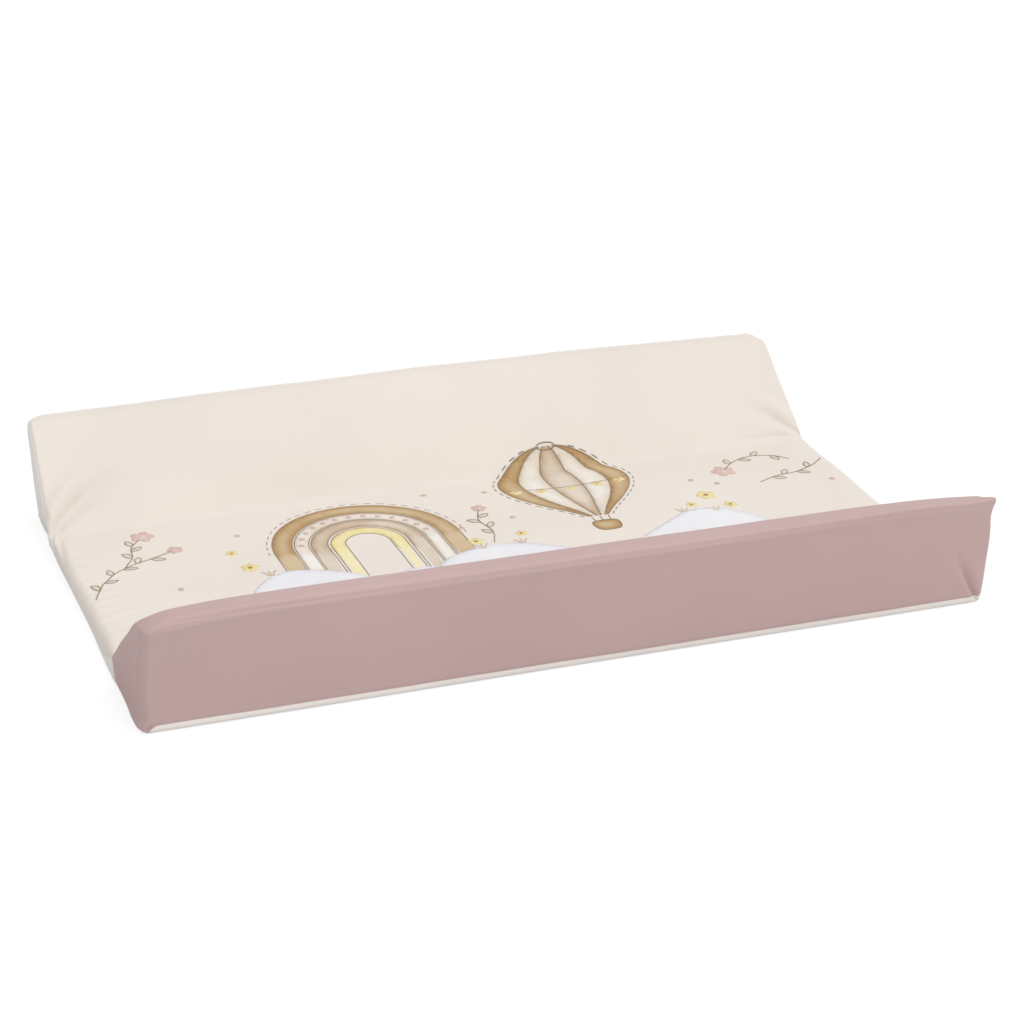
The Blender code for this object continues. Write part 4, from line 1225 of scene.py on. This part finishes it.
def draw_hills():
    """Prints low pale hills with tufts of grass."""
    hills = ([(-262, -92), (-246, -44), (-214, -20), (-176, -28), (-140, -52), (-112, -92)],
             [(-92, -92), (-66, -46), (-30, -28), (10, -26), (44, -40), (68, -60), (80, -92)],
             [(92, -92), (128, -58), (172, -28), (206, -8), (240, -14), (266, -42), (280, -92)],
             [(-150, -92), (-120, -60), (-92, -50), (-62, -58), (-36, -92)])
    for layer, tops in enumerate(hills, 3):
        pale.fill(spline(tops + [((tops[0][0] + tops[-1][0]) / 2, -104)], True)[::-1], layer)
    for x, y in ((-226, -24), (-18, -30), (22, -31), (200, -13), (232, -18)):
        for lean in (-5, 0, 5):
            beige.stroke(spline([(x + lean / 3, y), (x + lean * 0.7, y + 6), (x + lean * 1.4, y + 11)]), GRASS_LINE, 5)


def draw_sprig(stem, leaves):
    """Prints a thin leafy stem."""
    route = spline(stem)
    taupe.stroke(route, OUTLINE, 4)
    for share, side in leaves:
        spot = int(share * (len(route) - 2))
        ahead = route[spot + 1] - route[spot]
        heading = np.degrees(atan2(ahead[1], ahead[0])) + side * 48
        shape = leaf(*route[spot], 14, 6.5, heading)
        cloth.fill(shape, 1)
        taupe.stroke(shape, FINE_LINE, 4, closed=True)


def draw_flower(x, y, size, ink, heart):
    """Prints a small flower with a round heart."""
    ink.fill(petals(x, y, size, x), 2)
    heart.fill(ellipse(x, y, size * 0.27, size * 0.27), 5)


draw_arches(-118, 18, -92)
draw_balloon(116, 8)
draw_hills()
draw_sprig([(-390, -18), (-374, 14), (-350, 38), (-322, 50), (-300, 60)],
           [(0.16, 1), (0.28, -1), (0.42, 1), (0.56, -1), (0.70, 1), (0.84, -1)])
draw_sprig([(-350, 38), (-338, 58), (-334, 80), (-322, 98)], [(0.40, 1), (0.62, -1), (0.80, 1)])
draw_sprig([(284, 76), (302, 94), (326, 104), (350, 98), (362, 84)], [(0.22, 1), (0.40, -1), (0.60, 1), (0.80, -1)])
draw_sprig([(306, 36), (328, 46), (352, 50), (376, 60), (394, 74)], [(0.20, -1), (0.36, 1), (0.54, -1), (0.72, 1)])
draw_sprig([(-4, -20), (4, 6), (0, 34), (8, 58)], [(0.28, 1), (0.46, -1), (0.64, 1), (0.80, -1)])
for x, y, size in ((-318, 103, 12), (-296, 62, 8), (282, 74, 13), (10, 62, 8)):
    draw_flower(x, y, size, rose, cloth)
for x, y, size in ((-240, 0, 9), (-248, 36, 6), (238, 22, 10), (252, -6, 7), (214, 4, 6), (-20, -12, 8), (28, -8, 6)):
    draw_flower(x, y, size, yellow, tan)
for x, y in ((-232, 74), (-30, 112), (30, 100), (34, 30), (-22, 22), (240, 62), (262, 46), (380, 22), (-312, -24)):
    rose.fill(ellipse(x, y, DOT, DOT), 2)
prints = [ink.finish() for ink in INKS]


# The floor, the light and the camera.


def add_floor():
    """Adds a pale floor that the camera sees as white, with the mat's soft shadow on it."""
    bpy.ops.mesh.primitive_plane_add(size=40, location=(0, 0, 0))
    floor = bpy.context.object
    floor.name = "studio_floor"
    material, nodes, links, shader = new_material("studio_floor")
    set_inputs(shader, Base_Color=(0.84, 0.84, 0.84, 1), Roughness=1.0, Specular_IOR_Level=0.0)
    path = nodes.new("ShaderNodeLightPath")
    glow = nodes.new("ShaderNodeEmission")
    set_inputs(glow, Strength=0.78)
    dark = nodes.new("ShaderNodeBsdfDiffuse")
    set_inputs(dark, Color=(0.30, 0.30, 0.30, 1))
    both = nodes.new("ShaderNodeAddShader")
    mix = nodes.new("ShaderNodeMixShader")
    links.new(dark.outputs["BSDF"], both.inputs[0])
    links.new(glow.outputs["Emission"], both.inputs[1])
    links.new(path.outputs["Is Camera Ray"], mix.inputs["Fac"])
    links.new(shader.outputs["BSDF"], mix.inputs[1])
    links.new(both.outputs["Shader"], mix.inputs[2])
    links.new(mix.outputs["Shader"], nodes["Material Output"].inputs["Surface"])
    floor.data.materials.append(material)


def add_world():
    """Sets a white world that lights the mat softly, a little less from the left."""
    world = bpy.data.worlds.new("studio")
    bpy.context.scene.world = world
    world.use_nodes = True
    nodes, links = world.node_tree.nodes, world.node_tree.links
    shade = nodes["Background"]
    set_inputs(shade, Color=(1, 1, 1, 1))
    way = nodes.new("ShaderNodeSeparateXYZ")
    links.new(nodes.new("ShaderNodeTexCoord").outputs["Generated"], way.inputs["Vector"])
    level = nodes.new("ShaderNodeMapRange")
    set_inputs(level, From_Min=-1.0, From_Max=1.0, To_Min=0.50, To_Max=0.90)
    links.new(way.outputs["X"], level.inputs["Value"])
    links.new(level.outputs["Result"], shade.inputs["Strength"])
    seen = nodes.new("ShaderNodeBackground")
    set_inputs(seen, Color=(1, 1, 1, 1), Strength=1.0)
    path = nodes.new("ShaderNodeLightPath")
    mix = nodes.new("ShaderNodeMixShader")
    links.new(path.outputs["Is Camera Ray"], mix.inputs["Fac"])
    links.new(shade.outputs["Background"], mix.inputs[1])
    links.new(seen.outputs["Background"], mix.inputs[2])
    links.new(mix.outputs["Shader"], nodes["World Output"].inputs["Surface"])


def add_lamp(name, direction, strength, spread):
    """Adds a broad distant lamp that shines from a direction."""
    light = bpy.data.lights.new(name, "SUN")
    light.energy = strength
    light.angle = radians(spread)
    lamp = bpy.data.objects.new(name, light)
    lamp.rotation_euler = Vector(direction).to_track_quat("Z", "Y").to_euler()
    bpy.context.scene.collection.objects.link(lamp)


def add_camera():
    """Adds the camera at the photograph's viewing angle."""
    azimuth, elevation, roll = radians(-21.59), radians(23.76), radians(1.33)
    target = Vector((0.0189, -0.0054, 0.05))
    distance = 2.479
    backwards = Vector((sin(azimuth) * cos(elevation), -cos(azimuth) * cos(elevation), sin(elevation)))
    right = (-backwards).cross(Vector((0, 0, 1))).normalized()
    up = right.cross(-backwards)
    turned_right = right * cos(roll) + up * sin(roll)
    turned_up = up * cos(roll) - right * sin(roll)
    data = bpy.data.cameras.new("camera")
    data.lens = 90.74
    data.sensor_width = 36.0
    data.clip_end = 100
    camera = bpy.data.objects.new("camera", data)
    turn = Matrix((turned_right, turned_up, backwards)).transposed().to_4x4()
    camera.matrix_world = Matrix.Translation(target + backwards * distance) @ turn
    bpy.context.scene.collection.objects.link(camera)
    bpy.context.scene.camera = camera


add_floor()
add_world()
add_lamp("key", (0.22, -0.36, 1.0), 0.98, 50)
add_camera()
bpy.context.scene.view_settings.view_transform = "Standard"
